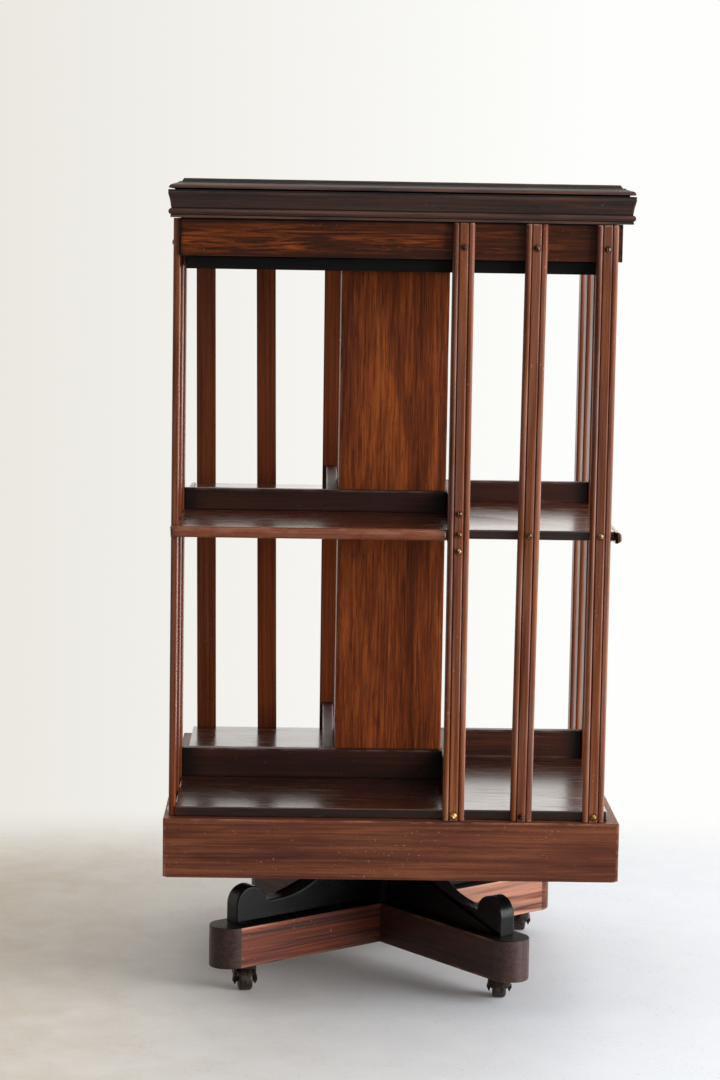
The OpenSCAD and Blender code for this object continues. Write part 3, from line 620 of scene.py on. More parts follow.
def metal(name, base, pale, rust=None, rough=(0.35, 0.6), metallic=0.9, scale=1.0,
          contrast=(0.45, 0.62), edge=0.7):
    """Aged metal: mottled patina, brighter rubbed patches and arrises, and a little pitting."""
    m = Mat(name)
    p = m.object_point()
    tone = m.noise(m.scaled(p, [scale * v for v in MOTTLE]), 4, 0.6, 0.4)
    bright = m.span(tone, *contrast)
    bright = m.math("MAXIMUM", bright, m.times(m.attribute("worn"), m.span(tone, 0.38, 0.55), edge))
    colour = m.mix(bright, linear(base), linear(pale))
    if rust:
        patch = m.noise(m.scaled(p, [scale * v for v in RUST]), 5, 0.65, 0.6)
        colour = m.mix(m.span(patch, 0.5, 0.62, 0.0, 0.75), colour, linear(rust))
    pits = m.noise(m.scaled(p, [scale * v for v in PITS]), 3, 0.6)
    roughness = m.span(m.math("ADD", m.times(tone, 0.5), m.times(pits, 0.5)), 0.35, 0.65, *rough)
    normal = m.bump(m.math("ADD", pits, tone), 0.00025, 0.5)
    return m.surface(colour, roughness, normal, metallic=metallic)


PLINTH = wood("plinth_mahogany", (66, 32, 22), (94, 50, 33), (122, 70, 46), (150, 98, 70), broad=(3.5, 55.0),
              fibre=(6.0, 380.0), mixed=0.45, contrast=(0.38, 0.5, 0.62), streaks=((64, 31, 22), 0.42, 0.56),
              streak_scale=(5.0, 200.0), specks=0.7, chips=0.4, worn=0.7, rough=(0.42, 0.54), specular=0.18)
FRIEZE = wood("frieze_mahogany", (32, 12, 4), (54, 22, 6), (80, 36, 11), (122, 68, 36), distort=1.0,
              flames=((172, 80, 22), 0.7, Z_FRIEZE * MM, Z_CORNICE * MM), rough=(0.42, 0.52), specular=0.14)
# Near black: painted shade over the ceiling board's mahogany, which lies in shadow under the frieze
CEILING = wood("ceiling_mahogany", (7, 6, 6), (11, 10, 9), (17, 14, 12), (40, 31, 26), specks=0.15, worn=0.4,
               rough=(0.5, 0.6), specular=0.08)
STOPS = wood("stop_mahogany", (42, 20, 13), (61, 30, 20), (86, 44, 29), (104, 84, 80), specks=0.4, worn=0.75,
             rough=(0.38, 0.5), specular=0.2)
TOP_WOOD = wood("top_mahogany", (36, 28, 26), (50, 37, 32), (64, 44, 36), (118, 76, 60),
                contrast=(0.36, 0.5, 0.66), streaks=((84, 44, 30), 0.5, 0.58), streak_scale=(7.0, 300.0),
                specks=0.25, worn=0.5, patch=(9.0, 160.0), rough=(0.38, 0.5), specular=0.2)
MIDDLE_SHELF = wood("middle_shelf_mahogany", (66, 28, 14), (88, 39, 21), (108, 52, 29), (120, 84, 68),
                    specks=0.1, scratches=0.15, worn=0.7, end=(44, 33, 29), rough=(0.17, 0.21), specular=0.6,
                    bump=0.08)
BOTTOM_SHELF = wood("bottom_shelf_mahogany", (38, 18, 11), (56, 27, 17), (76, 38, 23), (112, 66, 36),
                    specks=0.15, scratches=0.25, worn=0.5, end=(30, 20, 15), rough=(0.17, 0.22), specular=0.8,
                    bump=0.08)
NOSING = wood("nosing_mahogany", (94, 44, 28), (120, 63, 39), (138, 78, 50), (180, 132, 108), specks=0.15,
              worn=0.4, rough=(0.24, 0.34))
COLUMN_WOOD = wood("column_mahogany", (74, 30, 12), (114, 51, 19), (156, 79, 30), (150, 92, 56),
                   broad=(3.0, 34.0), fibre=(18.0, 480.0), distort=0.8, contrast=(0.38, 0.5, 0.62),
                   streaks=((70, 31, 17), 0.35, 0.58), pore=0.6, specks=0.0, worn=0.5, rough=(0.42, 0.52),
                   specular=0.14)
# Pale: worn arrises and painted highlights on the groove lips. End: what dirt and painted shade turn the wood
# to
SLATS = wood("slat_mahogany", (76, 35, 17), (107, 56, 29), (138, 79, 43), (190, 150, 138), fibre=(5.0, 420.0),
             contrast=(0.38, 0.5, 0.62), specks=0.2, worn=0.55, patch=(6.0, 90.0), end=(108, 44, 12),
             rough=(0.34, 0.44), specular=0.18)
# Its pale colour gives wear, and the painted highlight on the lit arm
LOWER_BEAM = wood("lower_beam_softwood", (71, 29, 17), (109, 47, 23), (147, 71, 36), (204, 147, 122),
                  mixed=0.45, streaks=((46, 25, 26), 0.9, 0.51), streak_scale=(3.5, 260.0), worn=0.8,
                  patch=(5.0, 110.0), end=(58, 40, 34), rough=(0.34, 0.46), specular=0.25)
# Darker than the lower beam: partly painted shade, for the front right arm whose side is turned from the
# window light
UPPER_BEAM = wood("upper_beam_softwood", (42, 21, 15), (64, 31, 21), (94, 46, 29), (140, 92, 70), mixed=0.45,
                  streaks=((32, 18, 16), 0.8, 0.53), streak_scale=(3.5, 260.0), worn=0.7, end=(58, 36, 29),
                  rough=(0.34, 0.46))
BRACKETS = wood("bracket_ebonised", (6, 6, 6), (9, 9, 9), (14, 13, 13), (56, 48, 44), pore=0.3, specks=0.25,
                worn=0.3, rough=(0.26, 0.36), specular=0.18, bump=0.5)
# Near black: painted shade, as the post stands in shadow between the brackets; it is plain turned wood
POST_IN_SHADE = wood("post_painted_shade", (14, 11, 10), (20, 15, 13), (30, 22, 18), (60, 44, 34), worn=0.0,
            cad_turn=(0, pi / 2, 0))
STEEL = metal("pivot_steel", (120, 118, 114), (176, 176, 174), rough=(0.25, 0.45), metallic=1.0)
IRON = metal("socket_iron", (52, 50, 48), (92, 88, 84), (84, 50, 34))
CASTER_METAL = metal("caster_iron", (24, 20, 18), (64, 55, 48), (50, 33, 24), scale=1.4, contrast=(0.52, 0.7))
WHEEL_IRON = metal("wheel_iron", (28, 22, 20), (84, 70, 62), (58, 40, 32), scale=1.4, metallic=0.7,
                   contrast=(0.5, 0.68))
BUSH_BRASS = metal("bush_brass", (112, 84, 44), (170, 134, 72), rough=(0.3, 0.5), metallic=1.0)
HEAD_SCREWS = metal("screw_iron", (40, 34, 30), (96, 84, 72), rough=(0.3, 0.5), scale=0.5)
SHELF_SCREWS = metal("screw_bronzed", (74, 58, 42), (150, 126, 92), rough=(0.25, 0.42), metallic=1.0,
                     scale=0.5)
FOOT_SCREWS = metal("screw_brass", (128, 98, 52), (220, 184, 108), rough=(0.22, 0.36), metallic=0.7,
                    scale=0.3, contrast=(0.44, 0.54))


# Plinth, frieze, cornice and top

PLINTH_LOW_R, FRIEZE_LOW_R = 5.0, 2.0


def board_section(half, t, z0, z1, r, low, top_shade=0.0):
    """Section of a board of the square frame in (y, z), its outer side at y = -half.

    low is the radius of the lower corners of that side, which needs points there.
    """
    # The top outer corner takes the top darkening: painted shade under the cornice
    rows = [(-half, z1, r, 1.0, top_shade), (-half, z0 + low)]
    rows += [(-half, z0 + low * f) for f in (0.62, 0.36, 0.17, 0.05)] + [(-half + 0.6, z0, 0.25)]
    return rows + [(-half + t, z0, 0.6), (-half + t, z1, 0.6)]


def mitred(section, half, s, seed, **shape):
    """A section run along face s between mitred corners, half a side from the face's middle."""
    return bar(Build(), section, -half, half, seed + s, place=face_turn(s), mitre=half, **shape)


for s, side in enumerate(SIDES):
    section = board_section(CASE, PLINTH_T, Z_PLINTH, Z_BOTTOM, 1.0, PLINTH_LOW_R)
    mitred(section, CASE, s, seed=1, end_r=1.6, wave=0.15, low_r=PLINTH_LOW_R, low_z=Z_PLINTH).make(
        f"plinth_{side}_board", PLINTH, "plinth_wood", f"plinth_{side}")
    # The frieze darkens along its top, painted shade under the cornice, and at its ends, dirt and painted
    # shade at the corners
    section = board_section(SHELF, FRIEZE_T, Z_FRIEZE, Z_CORNICE, 0.8, FRIEZE_LOW_R, 0.8)
    mitred(section, SHELF, s, seed=11, end_r=1.0, low_r=FRIEZE_LOW_R, low_z=Z_FRIEZE, grime=(0.6, 6)).make(
        f"frieze_{side}_board", FRIEZE, "frieze_wood", f"frieze_{side}")


def cornice_section():
    """Nose, slope, bead and fillet of the cornice, from the top outer corner down and round the back."""
    o, z = -CASE, Z_CORNICE
    slope_x, slope_z, slope_r = 51.93, 5.796, 55.06
    bead_x, bead_z, bead_r = 3.7, 6.2, 3.4
    # The top of the nose is black: painted shade under the top board
    rows = [(o, z + 28.6, 0.6, 0.3, 0.9), (o, z + 27.4, 0, 0.2, 0.9), (o, z + 26.6, 0, 0.6),
            (o, z + 24.1, 0.8, 0.3)]
    for h in (22.2, 19.8, 17.4, 15.0, 12.8, 11.0):
        rows.append((o + sqrt(slope_r ** 2 - (h - slope_z) ** 2) - slope_x, z + h, 0, 0.1))
    # The quirks above and below the bead are black, painted shade; the nose and the bead's upper half are
    # worn pale, wear and painted highlight
    rows += [(o + 3.0, z + 10.2, 0, 0.1, 0.3), (o + 3.4, z + 9.6, 0, 0, 0.95)]
    for angle in (66, 48, 30, 12, -12, -34, -54):
        a = radians(angle)
        rows.append((o + bead_x - bead_r * cos(a), z + bead_z + bead_r * sin(a), 0,
                     0.9 if angle > 0 else 0.3))
    rows += [(o + 3.0, z + 2.9, 0, 0, 1), (o + 2.4, z + 2.5, 0, 0.8), (o + 2.4, z, 0.4),
             (o + CORNICE_T, z, 0.4), (o + CORNICE_T, z + 28.6, 0.4)]
    return rows


for s, side in enumerate(SIDES):
    mitred(cornice_section(), CASE, s, seed=21, end_r=0.9, wave=0.15, nick=0.35, fade=1.2).make(
        f"cornice_{side}_moulding", TOP_WOOD, "top_wood", f"cornice_{side}")

# Width of the modelled rim of the top board, and half the plain middle of the other solid boards
TOP_RIM, BOARD_CORE = 60, 60


def top_section():
    """Groove, nose, slope, step and last slope of the top board's edge, from below and up over it."""
    o, z, nose_r, groove = TOP_HALF, Z_TOP, 4.3, 1.3
    # The groove under the nose is black: painted shade
    rows = [(o - TOP_RIM, z, 0), (o - 7, z, 0, 1), (o - 6, z, 0, 1), (o - 6, z + groove, 0, 1),
            (o - 1.2, z + groove, 0, 1), (o - 0.3, z + groove + 0.1, 0.6, 0.5)]
    for angle in (7, 18, 30, 44, 58, 72, 84):
        a = radians(angle)
        rows.append((o - nose_r * (1 - cos(a)), z + groove + nose_r * sin(a),
                     0.9 if angle < 50 else 0.3))
    # The inner corners of the steps are darkened: painted shade
    for inset, rise, worn, dirt_and_shade in (
            (6, 6.15, 0.1, 0), (9.4, 7.3, 0.1, 0.2), (9.9, 7.5, 0, 0.9), (10.1, 7.75, 0, 0.9),
            (10.3, 8.25, 0.8, 0), (10.7, 8.4, 0.6, 0), (12.6, 8.4, 0, 0.2), (13.1, 8.5, 0, 0.7),
            (14.9, 11.4, 0.8, 0), (15.5, 11.7, 0.9, 0), (18, 11.7, 0, 0), (TOP_RIM, 11.7, 0, 0)):
        rows.append((o - inset, z + rise, worn, dirt_and_shade))
    return rows


square_run(Build(), top_section(), seed=31, corner_r=1.8, nick=0.4).make(
    "top_board_panel", TOP_WOOD, "top_wood", "top_board")


def shelf_section(half, z0, z1, r, inner, edge_dirt=0.0):
    """Section of a board with both outer arrises rounded, from below, round its edge and back over it."""
    rows = [(half - r - 2, z0, 0, 0), (half - r, z0, 0.7, 0), (half - 0.3 * r, z0 + 0.3 * r, 1, 0),
            (half, z0 + r, 0.7, edge_dirt), (half, z0 + r + 1, 0.1, edge_dirt)]
    upper = [(a, z0 + z1 - z, w, d) for a, z, w, d in reversed(rows)]
    return [(inner, z0, 0)] + rows + upper + [(inner, z1, 0)]


square_run(Build(), shelf_section(CEILING_HALF, Z_CEILING, Z_FRIEZE, 0.8, BOARD_CORE), seed=33).make(
    "ceiling_board_panel", CEILING, "dark_wood", "ceiling_board")
square_run(Build(), shelf_section(SHELF, Z_BOTTOM, Z_LOWER, 0.9, BOARD_CORE, 0.35), seed=34).make(
    "bottom_shelf_panel", BOTTOM_SHELF, "shelf_wood", "bottom_shelf")
square_run(Build(), shelf_section(SHELF, Z_MIDDLE, Z_UPPER, 0.9, COLUMN + 0.1, 0.5), seed=35, hole=True).make(
    "middle_shelf_panel", MIDDLE_SHELF, "shelf_wood", "middle_shelf")


# Column, stops, bearers and nosings

JOINT_GAP = 0.05

for s, side in enumerate(SIDES):
    inside, end = -COLUMN + COLUMN_T, COLUMN - COLUMN_T - JOINT_GAP
    column = [(-COLUMN, -COLUMN, 0.7), (inside, -COLUMN, 0.2), (inside, end, 0.2), (-COLUMN, end, 0.3, 0.3)]
    # Each board darkens towards both ends: dirt and painted shade against the bottom shelf and the ceiling
    # board
    bar(Build(), column, Z_LOWER, Z_CEILING, seed=41 + s, end_r=0.2, step=20, nick=0.2,
        place=face_turn(s) @ UPRIGHT, grime=(0.5, 12)).make(
        f"column_{side}_board", COLUMN_WOOD, "column_wood", f"column_{side}")


def stops(name, z0, h, node, seed, r=0.9):
    """Four bars of height h laid as a pinwheel round the column."""
    build = Build()
    for s in range(4):
        y = -COLUMN - STOP_T
        # The lower front arris is darkened as painted shade, and both ends darken over 34 mm: dirt and
        # painted shade where the bars meet the slats and each other
        rows = [(y, z0 + h, r), (y, z0, 0.3, 0, 0.8), (y + STOP_T, z0, 0.3), (y + STOP_T, z0 + h, r)]
        bar(build, rows, -SHELF, COLUMN - 0.1, seed + s, end_r=0.9, nick=0.3, place=face_turn(s),
            grime=(0.9, 34))
    build.make(name, STOPS, "dark_wood", node)


stops("upper_stop_bars", Z_UPPER, UPPER_STOP_H, "upper_stops", seed=51)
stops("lower_stop_bars", Z_LOWER, LOWER_STOP_H, "lower_stops", seed=56)
stops("bearer_bars", Z_MIDDLE - BEARER_H, BEARER_H, "shelf_bearers", seed=61)

NOSING_R = 4.9
nosings = Build()
for s in range(4):
    z0, y0 = Z_UPPER - NOSING_H, -SHELF - SLAT_T
    end_x = slat_x(s, 0) - SLAT_W / 2 + min(0, lean_at(s, 0, z0)) - NOSING_GAP
    rows = [(-SHELF, z0, 0.2), (-SHELF, Z_UPPER, 0.2, 0.3), (y0, Z_UPPER, NOSING_R, 0.6),
            (y0, z0, NOSING_R, 0.3)]
    # Both ends darken: dirt and painted shade beside the slats and at the corner
    bar(nosings, rows, y0, end_x, seed=66 + s, end_r=2.2, wave=0.25, nick=0.3, seg=7, place=face_turn(s),
        grime=(0.45, 14))
nosings.make("nosing_strips", NOSING, "nosing_wood", "shelf_nosings")


# Slats and their screws

# Half of a slat's section from its middle out, as (x, y, radius, worn, dirt and painted shade): reed, groove
# and rounded edge. Groove bottoms and the back edge by the board are darkened as painted shade, and the
# groove lips are worn pale as wear and painted highlight
SLAT_HALF = [(2.4, -7.0, 0, 0.1), (3.5, -6.98, 0, 0.3), (4.05, -6.85, 0, 1.0), (4.3, -6.5, 0, 0.7, 0.2),
             (4.65, -5.95, 0, 0, 0.82), (5.35, -5.95, 0, 0, 0.82), (5.7, -6.45, 0, 0.7, 0.2),
             (6.05, -6.8, 0, 1.0), (6.8, -6.97, 0, 0.5), (7.8, -7.0, 0, 0.2), (8.9, -6.85, 0, 0.1),
             (9.9, -6.4, 0, 0.1), (10.6, -5.6, 0, 0.35), (11.2, -4.5, 0, 0.4), (11.48, -3.2, 0, 0.2),
             (11.5, -1.2, 0, 0, 0.3), (11.2, 0, 0, 0, 0.6), (9.8, 0, 0, 0, 0.25)]
SLAT_RIGHT = [(y, x, *rest) for x, y, *rest in SLAT_HALF]
SLAT_LEFT = [(y, -x, *rest) for x, y, *rest in reversed(SLAT_HALF)]
SLAT_SECTION = [(-7.0, 0, 0, 0.1)] + SLAT_RIGHT + SLAT_LEFT
Z_SLAT = Z_BOTTOM + SLAT_FOOT_GAP
SLAT_LEN = Z_CORNICE - SLAT_HEAD_GAP - Z_SLAT
FOOT_LEVEL, SHELF_LEVEL = (Z_BOTTOM + Z_LOWER) / 2, (Z_MIDDLE + Z_UPPER) / 2
STOP_LEVELS = [Z_UPPER + 16.7, Z_MIDDLE - 12.6]
SCREW_R, SCREW_RISE, SCREW_SLOT, SHANK_R, SHANK_LEN, SCREW_SIDES = 3.25, 1.7, 0.9, 1.6, 3.0, 40
# Dark ring round each screw, dirt and painted shadow: its darkness, its reach past the head, and stations for
# it along the slat
RING_DARKNESS, RING_REACH, RING_STATIONS = 0.8, 2.2, (-5.6, -4.2, -3.0, -1.2, 1.2, 3.0, 4.2, 5.6)


def screw_dirt_and_shadow(levels):
    """A dark ring on a slat's front round its screws: dirt, and painted shadow round the heads."""
    def shade_and_dirt(x, y, z):
        near = min(hypot(x - level, z) for level in levels)
        if y >= -5 or near <= SCREW_R - 1:
            return 0.0
        return RING_DARKNESS * max(0.0, 1 - (near - SCREW_R) / RING_REACH)
    return shade_and_dirt


for s, side in enumerate(SIDES):
    for i in range(3):
        levels = [Z_HEAD_SCREW, FOOT_LEVEL, SHELF_LEVEL] + (STOP_LEVELS if i == 0 else [])
        levels = [z - Z_SLAT for z in levels]
        bar(Build(), SLAT_SECTION, 0, SLAT_LEN, seed=71 + 3 * s + i, end_r=0.5, step=11, wave=0.12, nick=0.3,
            place=on_slat(s, i) @ moved(0, 0, Z_SLAT) @ UPRIGHT, shade_and_dirt=screw_dirt_and_shadow(levels),
            extra=[z + d for z in levels for d in RING_STATIONS]).make(
            f"slat_{side}_{i + 1}_reeded", SLATS, "slat_wood", f"slat_{side}_{i + 1}")


def domed_head(build, place, turn):
    """Head of a slotted domed screw with its flat side on local z = 0, and a short shank."""
    ball = (SCREW_R ** 2 + SCREW_RISE ** 2) / (2 * SCREW_RISE)
    n = SCREW_SIDES
    angles = [2 * pi * k / n for k in range(n)]

    def off_slot(x, y):
        return abs(-x * sin(turn) + y * cos(turn))

    def height(x, y):
        dome = sqrt(max(ball * ball - x * x - y * y, 0)) - (ball - SCREW_RISE)
        cut = min(1.0, max(0.0, (0.62 * SCREW_SLOT - off_slot(x, y)) / (0.16 * SCREW_SLOT)))
        return max(dome - cut * 0.85, 0.12)

    circles = [0.35, 0.7, 1.1, 1.5, 1.9, 2.3, 2.65, 2.95, 3.15, SCREW_R]
    pts, worn, dirt_and_shade = [(0, 0, height(0, 0))], [0.0], [1.0]
    for q in circles:
        for a in angles:
            x, y = q * cos(a), q * sin(a)
            pts.append((x, y, height(x, y)))
            worn.append(0.6 if q > 2.5 else 0.2)
            dirt_and_shade.append(float(off_slot(x, y) < 0.5 * SCREW_SLOT))
    for radius, z in ((SCREW_R, 0.0), (SHANK_R, 0.0), (SHANK_R, -SHANK_LEN)):
        pts += [(radius * cos(a), radius * sin(a), z) for a in angles]
        worn += [0.0] * n
        dirt_and_shade += [0.0] * n
    faces = [(0, 1 + k, 1 + (k + 1) % n) for k in range(n)]
    for j in range(len(circles) + 2):
        for k in range(n):
            a, b = 1 + j * n + k, 1 + j * n + (k + 1) % n
            faces.append((a, a + n, b + n, b))
    faces.append(tuple(range(len(pts) - n, len(pts))))
    build.add(pts, faces, 0, worn, dirt_and_shade, place)


def screw_row(name, material, levels_of):
    """The slat screws at the levels that levels_of gives for slat i of every face."""
    build = Build()
    for s in range(4):
        for i in range(3):
            for z in levels_of(i):
                place = on_slat(s, i) @ moved(0, -SLAT_T + 0.05, z) @ turned(90, "X")
                domed_head(build, place, radians(47 * (s + 1) * (i + 2) + z))
    build.make(name, material, "screw_brass", "slat_screws")


screw_row("slat_screws_of_iron", HEAD_SCREWS, lambda i: [Z_HEAD_SCREW] + ([FOOT_LEVEL] if i == 1 else []))
screw_row("slat_screws_bronzed", SHELF_SCREWS, lambda i: [SHELF_LEVEL] + (STOP_LEVELS if i == 0 else []))
screw_row("slat_screws_of_brass", FOOT_SCREWS, lambda i: [FOOT_LEVEL] if i != 1 else [])


# Cross and brackets

# By arm, how dark its round end is: dark end grain, and painted shade, darker on ends turned from the light
END_GRAIN_AND_SHADE = [0.56, 0.44, 0.12, 0.3]
# Painted shade: black on the beam's top under the plinth, and darker sides towards the middle
TOP_SHADE, MIDDLE_SHADE, MIDDLE_REACH = 0.95, 0.3, 120
# Painted highlight: one arm's sides painted pale past a distance from the axis, where the window light falls
LIT_ARM, LIT_FROM, LIT_PALENESS = 2, 60, 0.63
BEAM_EDGE_R = 1.4


def beam_half(reach):
    """Distances from the axis, with the share of the full width there, from a round end in to the lap."""
    half = BEAM_W / 2
    tip = [(reach + half * cos(radians(a)), sin(radians(a)))
           for a in (4, 10, 17, 25, 34, 44, 54, 65, 77, 88)]
    return tip + [(x, 1.0) for x in [reach - 0.5] + list(np.linspace(reach, half, 14)[1:])]


def beam(name, material, arm, lap_up, seed, node):
    """A beam of the cross: round ends of dark end grain and painted shade, painted shade on top and in the
    middle.

    lap_up keeps its lower half in the lap. The sides of one arm are painted pale: a painted highlight of the
    window light.
    """
    half, r, z0, z1 = BEAM_W / 2, BEAM_EDGE_R, Z_BEAM, Z_BEAM_TOP
    mid = (z0 + z1) / 2
    rows = [(-half, z0, r), (half, z0, r), (half, z1, r), (-half, z1, r)]
    pts, worn, _ = outline(rows, fade=2.5)
    nrm = normals_2d(pts)
    xs = [(-x, width, False) for x, width in beam_half(REACHES[arm + 2])]
    xs += [(x, 1.0, True) for x in np.linspace(-half, half, 5)]
    xs += [(x, width, False) for x, width in reversed(beam_half(REACHES[arm]))]
    rings, all_worn, all_dirt_and_shade = [], [], []
    for x, width, lap in xs:
        q = pts.copy()
        for k in range(len(q)):
            q[k] -= nrm[k] * uneven((x, q[k, 0], q[k, 1]), worn[k], seed, wave=0.15, nick=0.3)
        q[:, 0] *= width
        if lap:
            z = q[:, 1]
            q[:, 1] = np.minimum(z, mid - JOINT_GAP) if lap_up else np.maximum(z, mid + JOINT_GAP)
        rings.append(np.stack([np.full(len(q), x), q[:, 0], q[:, 1]], 1))
        k = arm if x > 0 else arm + 2
        at_end = abs(x) >= REACHES[k] - 0.1
        # Painted highlight on the lit arm's sides; painted shade on the ends, the top and towards the middle
        rubbed = LIT_PALENESS if k == LIT_ARM and abs(x) > LIT_FROM else 0.0
        all_worn.append(worn * 0.5 if at_end else np.maximum(worn, rubbed))
        side_shade_and_end_grain = END_GRAIN_AND_SHADE[k] if at_end else MIDDLE_SHADE * max(0.0, 1 - abs(x) / MIDDLE_REACH)
        all_dirt_and_shade.append(np.where(nrm[:, 1] > 0.6, TOP_SHADE, side_shade_and_end_grain))
    Build().add(rings, skin(rings), seed, all_worn, all_dirt_and_shade, arm_turn(arm)).make(
        name, material, "beam_wood", node, body="base")


beam("beam_lower_timber", LOWER_BEAM, 0, True, 91, "beam_lower")
beam("beam_upper_timber", UPPER_BEAM, 1, False, 92, "beam_upper")

BRACKET_IN, BRACKET_OUT, BRACKET_H, BRACKET_HALF = 20.3, 213.5, 64.8, 10
LOBE_X, LOBE_Z, LOBE_R = 193.5, 21, 20
DIP_X, DIP_Z = 160, 22.5
SWEEP_Z, SWEEP_R = 135, 112.5


def bracket_outline():
    """Bracket in (x, z) above the beam: lobe, level dip and hollow sweep."""
    z = Z_BEAM_TOP
    rows = [(BRACKET_IN, z, 0.5), (BRACKET_OUT, z, 0.6), (BRACKET_OUT, z + 20)]
    for angle in np.linspace(0, 172, 20):
        a = radians(angle)
        rows.append((LOBE_X + LOBE_R * cos(a), z + LOBE_Z + LOBE_R * sin(a), 0, 0.5))
    rows += [(173.0, z + DIP_Z, 0, 0.2), (167, z + DIP_Z, 0, 0.3), (DIP_X, z + DIP_Z, 0, 0.4)]
    for angle in np.linspace(6, 51.4, 9):
        a = radians(angle)
        rows.append((DIP_X - SWEEP_R * sin(a), z + SWEEP_Z - SWEEP_R * cos(a), 0, 0.5))
    return rows + [(40, z + BRACKET_H, 0, 0.5), (BRACKET_IN, z + BRACKET_H, 0.5)]


for k, corner in enumerate(CORNERS):
    slab(Build(), bracket_outline(), -BRACKET_HALF, BRACKET_HALF, seed=95 + k, r=1.6, place=arm_turn(k)).make(
        f"bracket_{corner}_ebonised", BRACKETS, "ebonised_wood", f"bracket_{corner}", body="base")


# Casters

def wheel_profile():
    """A barrel wheel with round edges and a small hub, bored for its axle: radius, height and wear."""
    z0, z1 = (HUB_W - WHEEL_W) / 2, (HUB_W + WHEEL_W) / 2
    flat_r = WHEEL_R - WHEEL_EDGE_R
    rim = [(flat_r + WHEEL_EDGE_R * sin(a), z0 + WHEEL_EDGE_R * (1 - cos(a)), 0.5 + 0.5 * sin(a))
           for a in np.linspace(0, pi / 2, 7)]
    hub = [(BORE_R, 0, 0.3), (HUB_R - 0.3, 0, 0.5), (HUB_R, 0.3, 0.8), (HUB_R, z0, 0), (flat_r - 1, z0, 0)]
    other_side = [(r, z0 + z1 - z, w) for r, z, w in reversed(hub + rim)]
    return hub + rim + [(WHEEL_R, z0 + WHEEL_W / 2, 0.9)] + other_side


bevelled("caster_plate_set", "caster_plates", CASTER_METAL, "base")
for k, corner in enumerate(CORNERS):
    bevelled(f"fork_{corner}_forged", f"caster_fork_{corner}", CASTER_METAL,
             f"caster_{corner}")
    hub = at_caster(k) @ moved(TRAIL, HUB_W / 2, WHEEL_R) @ turned(90, "X")
    lathe(Build(), wheel_profile(), seed=k, place=hub).make(
        f"wheel_{corner}_turned", WHEEL_IRON, "wheel_iron", f"caster_wheel_{corner}", body=f"wheel_{corner}")


# CAD nodes that stay, with a better material

for node, material in (("post", POST_IN_SHADE), ("pivot_pin", STEEL), ("pivot_socket", IRON),
                       ("collar_bush", BUSH_BRASS), ("plate_screws", STEEL), ("bracket_screws", STEEL)):
    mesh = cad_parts[node].data
    mesh.materials.clear()
    mesh.materials.append(material)


# Floor

FLOOR_SOLID, FLOOR_GONE, FLOOR_MARGIN, FLOOR_CELLS = 0.46, 0.8, 0.05, 24
# Painted shade and light on the floor: darker and warmer on the left where the case's shadow falls, lighter
# and cooler on the right by the window
FLOOR_SHADED_LEFT, FLOOR_LIT_RIGHT = linear((200, 187, 166)), linear((224, 227, 232))
FLOOR_CLOUD, FLOOR_GRIT = linear((238, 238, 238)), linear((160, 156, 148))


def floor_material():
    """A pale floor with painted shade on the left and painted light on the right, faint clouds and grit, that
    fades out far away.
    """
    m = Mat("floor_pale")
    p = m.object_point()
    cloud = m.figure(p, (16, 16), 6, 0.65, 0.3)
    grit = m.figure(p, (210, 210), 3, 0.6)
    axis = m.node("SeparateXYZ", {"Vector": p}).outputs
    # Painted shade to the left, painted light to the right
    tone = m.mix(m.span(axis["X"], -0.5, 0.2), FLOOR_SHADED_LEFT, FLOOR_LIT_RIGHT)
    tone = m.mix(m.span(cloud, 0.35, 0.65, 0.0, 0.25), tone, FLOOR_CLOUD)
    gritty = m.times(m.span(grit, 0.58, 0.72), m.span(cloud, 0.62, 0.42), 0.4)
    tone = m.mix(gritty, tone, FLOOR_GRIT)
    m.surface(tone, 0.6, m.bump(grit, 0.0003, 0.3), specular=0.25)
    x4, y4 = [m.math("POWER", m.math("ABSOLUTE", axis[name]), 4) for name in ("X", "Y")]
    away = m.math("POWER", m.math("ADD", x4, y4), 0.25)
    fade = m.node("MapRange", {"Value": away, "From Min": FLOOR_SOLID, "From Max": FLOOR_GONE},
                  interpolation_type="SMOOTHSTEP").outputs[0]
    clear = m.node("BsdfTransparent").outputs[0]
    blend = m.node("MixShader", {0: fade, 1: m.bsdf.outputs[0], 2: clear}).outputs[0]
    m.link(blend, m.out.inputs["Surface"])
    return m.mat


floor = new_object("floor", bpy.data.meshes.new("floor"))
bm = bmesh.new()
bmesh.ops.create_grid(bm, x_segments=FLOOR_CELLS, y_segments=FLOOR_CELLS, size=FLOOR_GONE + FLOOR_MARGIN)
bm.to_mesh(floor.data)
bm.free()
floor.data.materials.append(floor_material())


# Room: the wall that the camera sees, the stronger light of its far side in reflections, and soft light

WALL_LEFT, WALL_RIGHT = linear((232, 229, 221)), linear((254, 254, 252))
NEAR_SHADE, NEAR_WINDOW = (0.15, 0.145, 0.14, 1), (0.75, 0.8, 0.88, 1)
FAR_LEFT, FAR_MIDDLE, FAR_WINDOW = (1.4, 1.37, 1.32, 1), (2.1, 2.05, 1.95, 1), (2.6, 2.55, 2.45, 1)
FAR_SOFT = (1.0, 0.98, 0.95, 1)

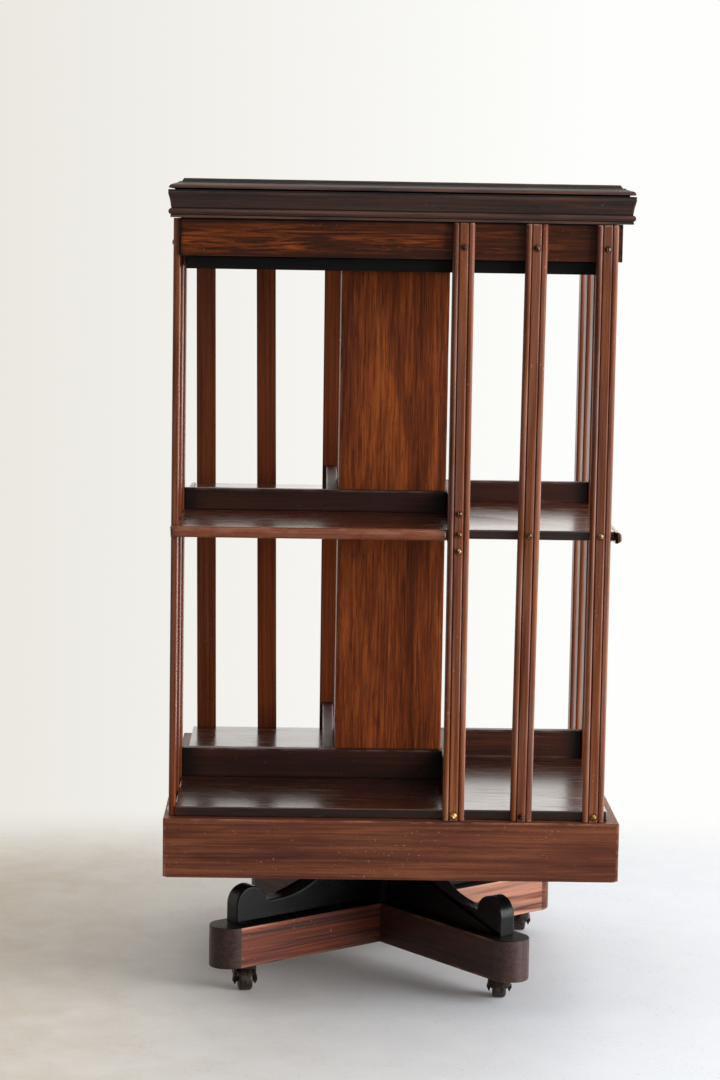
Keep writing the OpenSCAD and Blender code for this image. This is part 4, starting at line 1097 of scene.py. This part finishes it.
world = bpy.data.worlds.new("room")
bpy.context.scene.world = world
world.use_nodes = True
room = Nodes(world.node_tree)
direction = room.node("TexCoord").outputs["Generated"]
axis = room.node("SeparateXYZ", {"Vector": direction}).outputs
wall = room.mix(room.span(axis["X"], -0.14, 0.1), WALL_LEFT, WALL_RIGHT)
far = room.span(axis["Y"], -0.3, 0.5)
window_side = room.span(axis["X"], 0.1, 0.9)
past_column = room.span(axis["X"], -0.05, 0.1)
near_light = room.mix(window_side, NEAR_SHADE, NEAR_WINDOW)
far_light = room.mix(window_side, room.mix(past_column, FAR_LEFT, FAR_MIDDLE), FAR_WINDOW)
reflected = room.mix(far, near_light, far_light)
soft = room.mix(far, near_light, FAR_SOFT)
rays = room.node("LightPath").outputs
light = room.mix(rays["Is Glossy Ray"], soft, reflected)
lit = room.node("Background", {"Color": light}).outputs[0]
seen = room.node("Background", {"Color": wall}).outputs[0]
either = room.node("MixShader", {0: rays["Is Camera Ray"], 1: lit, 2: seen}).outputs[0]
room.node("OutputWorld", {"Surface": either})


# Lamps and camera

def lamp(name, place, target, size, power, colour):
    """A rectangular lamp at a place, turned to a target, its sizes in metres and its power in watts."""
    data = bpy.data.lights.new(name, "AREA")
    data.shape, data.size, data.size_y = "RECTANGLE", size[0], size[1]
    data.energy, data.color = power, colour
    obj = new_object(name, data)
    obj.location = place
    obj.rotation_euler = (Vector(target) - Vector(place)).to_track_quat("-Z", "Y").to_euler()


lamp("window_right", (2.45, -1.3, 0.9), (0, 0, 0.45), (1.6, 2.2), 112, (0.97, 0.985, 1.0))
lamp("sky_above", (0.1, -0.3, 2.7), (0.1, -0.25, 0), (2.2, 2.2), 16, (1.0, 0.99, 0.98))
lamp("fill_front", (0.2, -3.7, 1.6), (0, 0, 0.45), (2.0, 2.0), 16, (1.0, 0.98, 0.95))

# The camera's place and directions come from the corners of the object in the photo
CAMERA_PLACE = Vector((-0.0930263, -3.0677175, 0.8466))
CAMERA_RIGHT = Vector((0.99970786, -0.01743687, 0.01673746))
CAMERA_UP = Vector((-0.01456488, 0.11802861, 0.99290338))
CAMERA_FORWARD = Vector((0.01928863, 0.99285709, -0.11774016))
camera = new_object("camera", bpy.data.cameras.new("camera"))
bpy.context.scene.camera = camera
axes = (CAMERA_RIGHT, CAMERA_UP, -CAMERA_FORWARD, CAMERA_PLACE)
camera.matrix_world = Matrix([[v[k] for v in axes] for k in range(3)] + [[0, 0, 0, 1]])
camera.data.sensor_width = 36
camera.data.lens = 91.52
camera.data.clip_start, camera.data.clip_end = 0.05, 50
bpy.context.scene.view_settings.view_transform = "Standard"
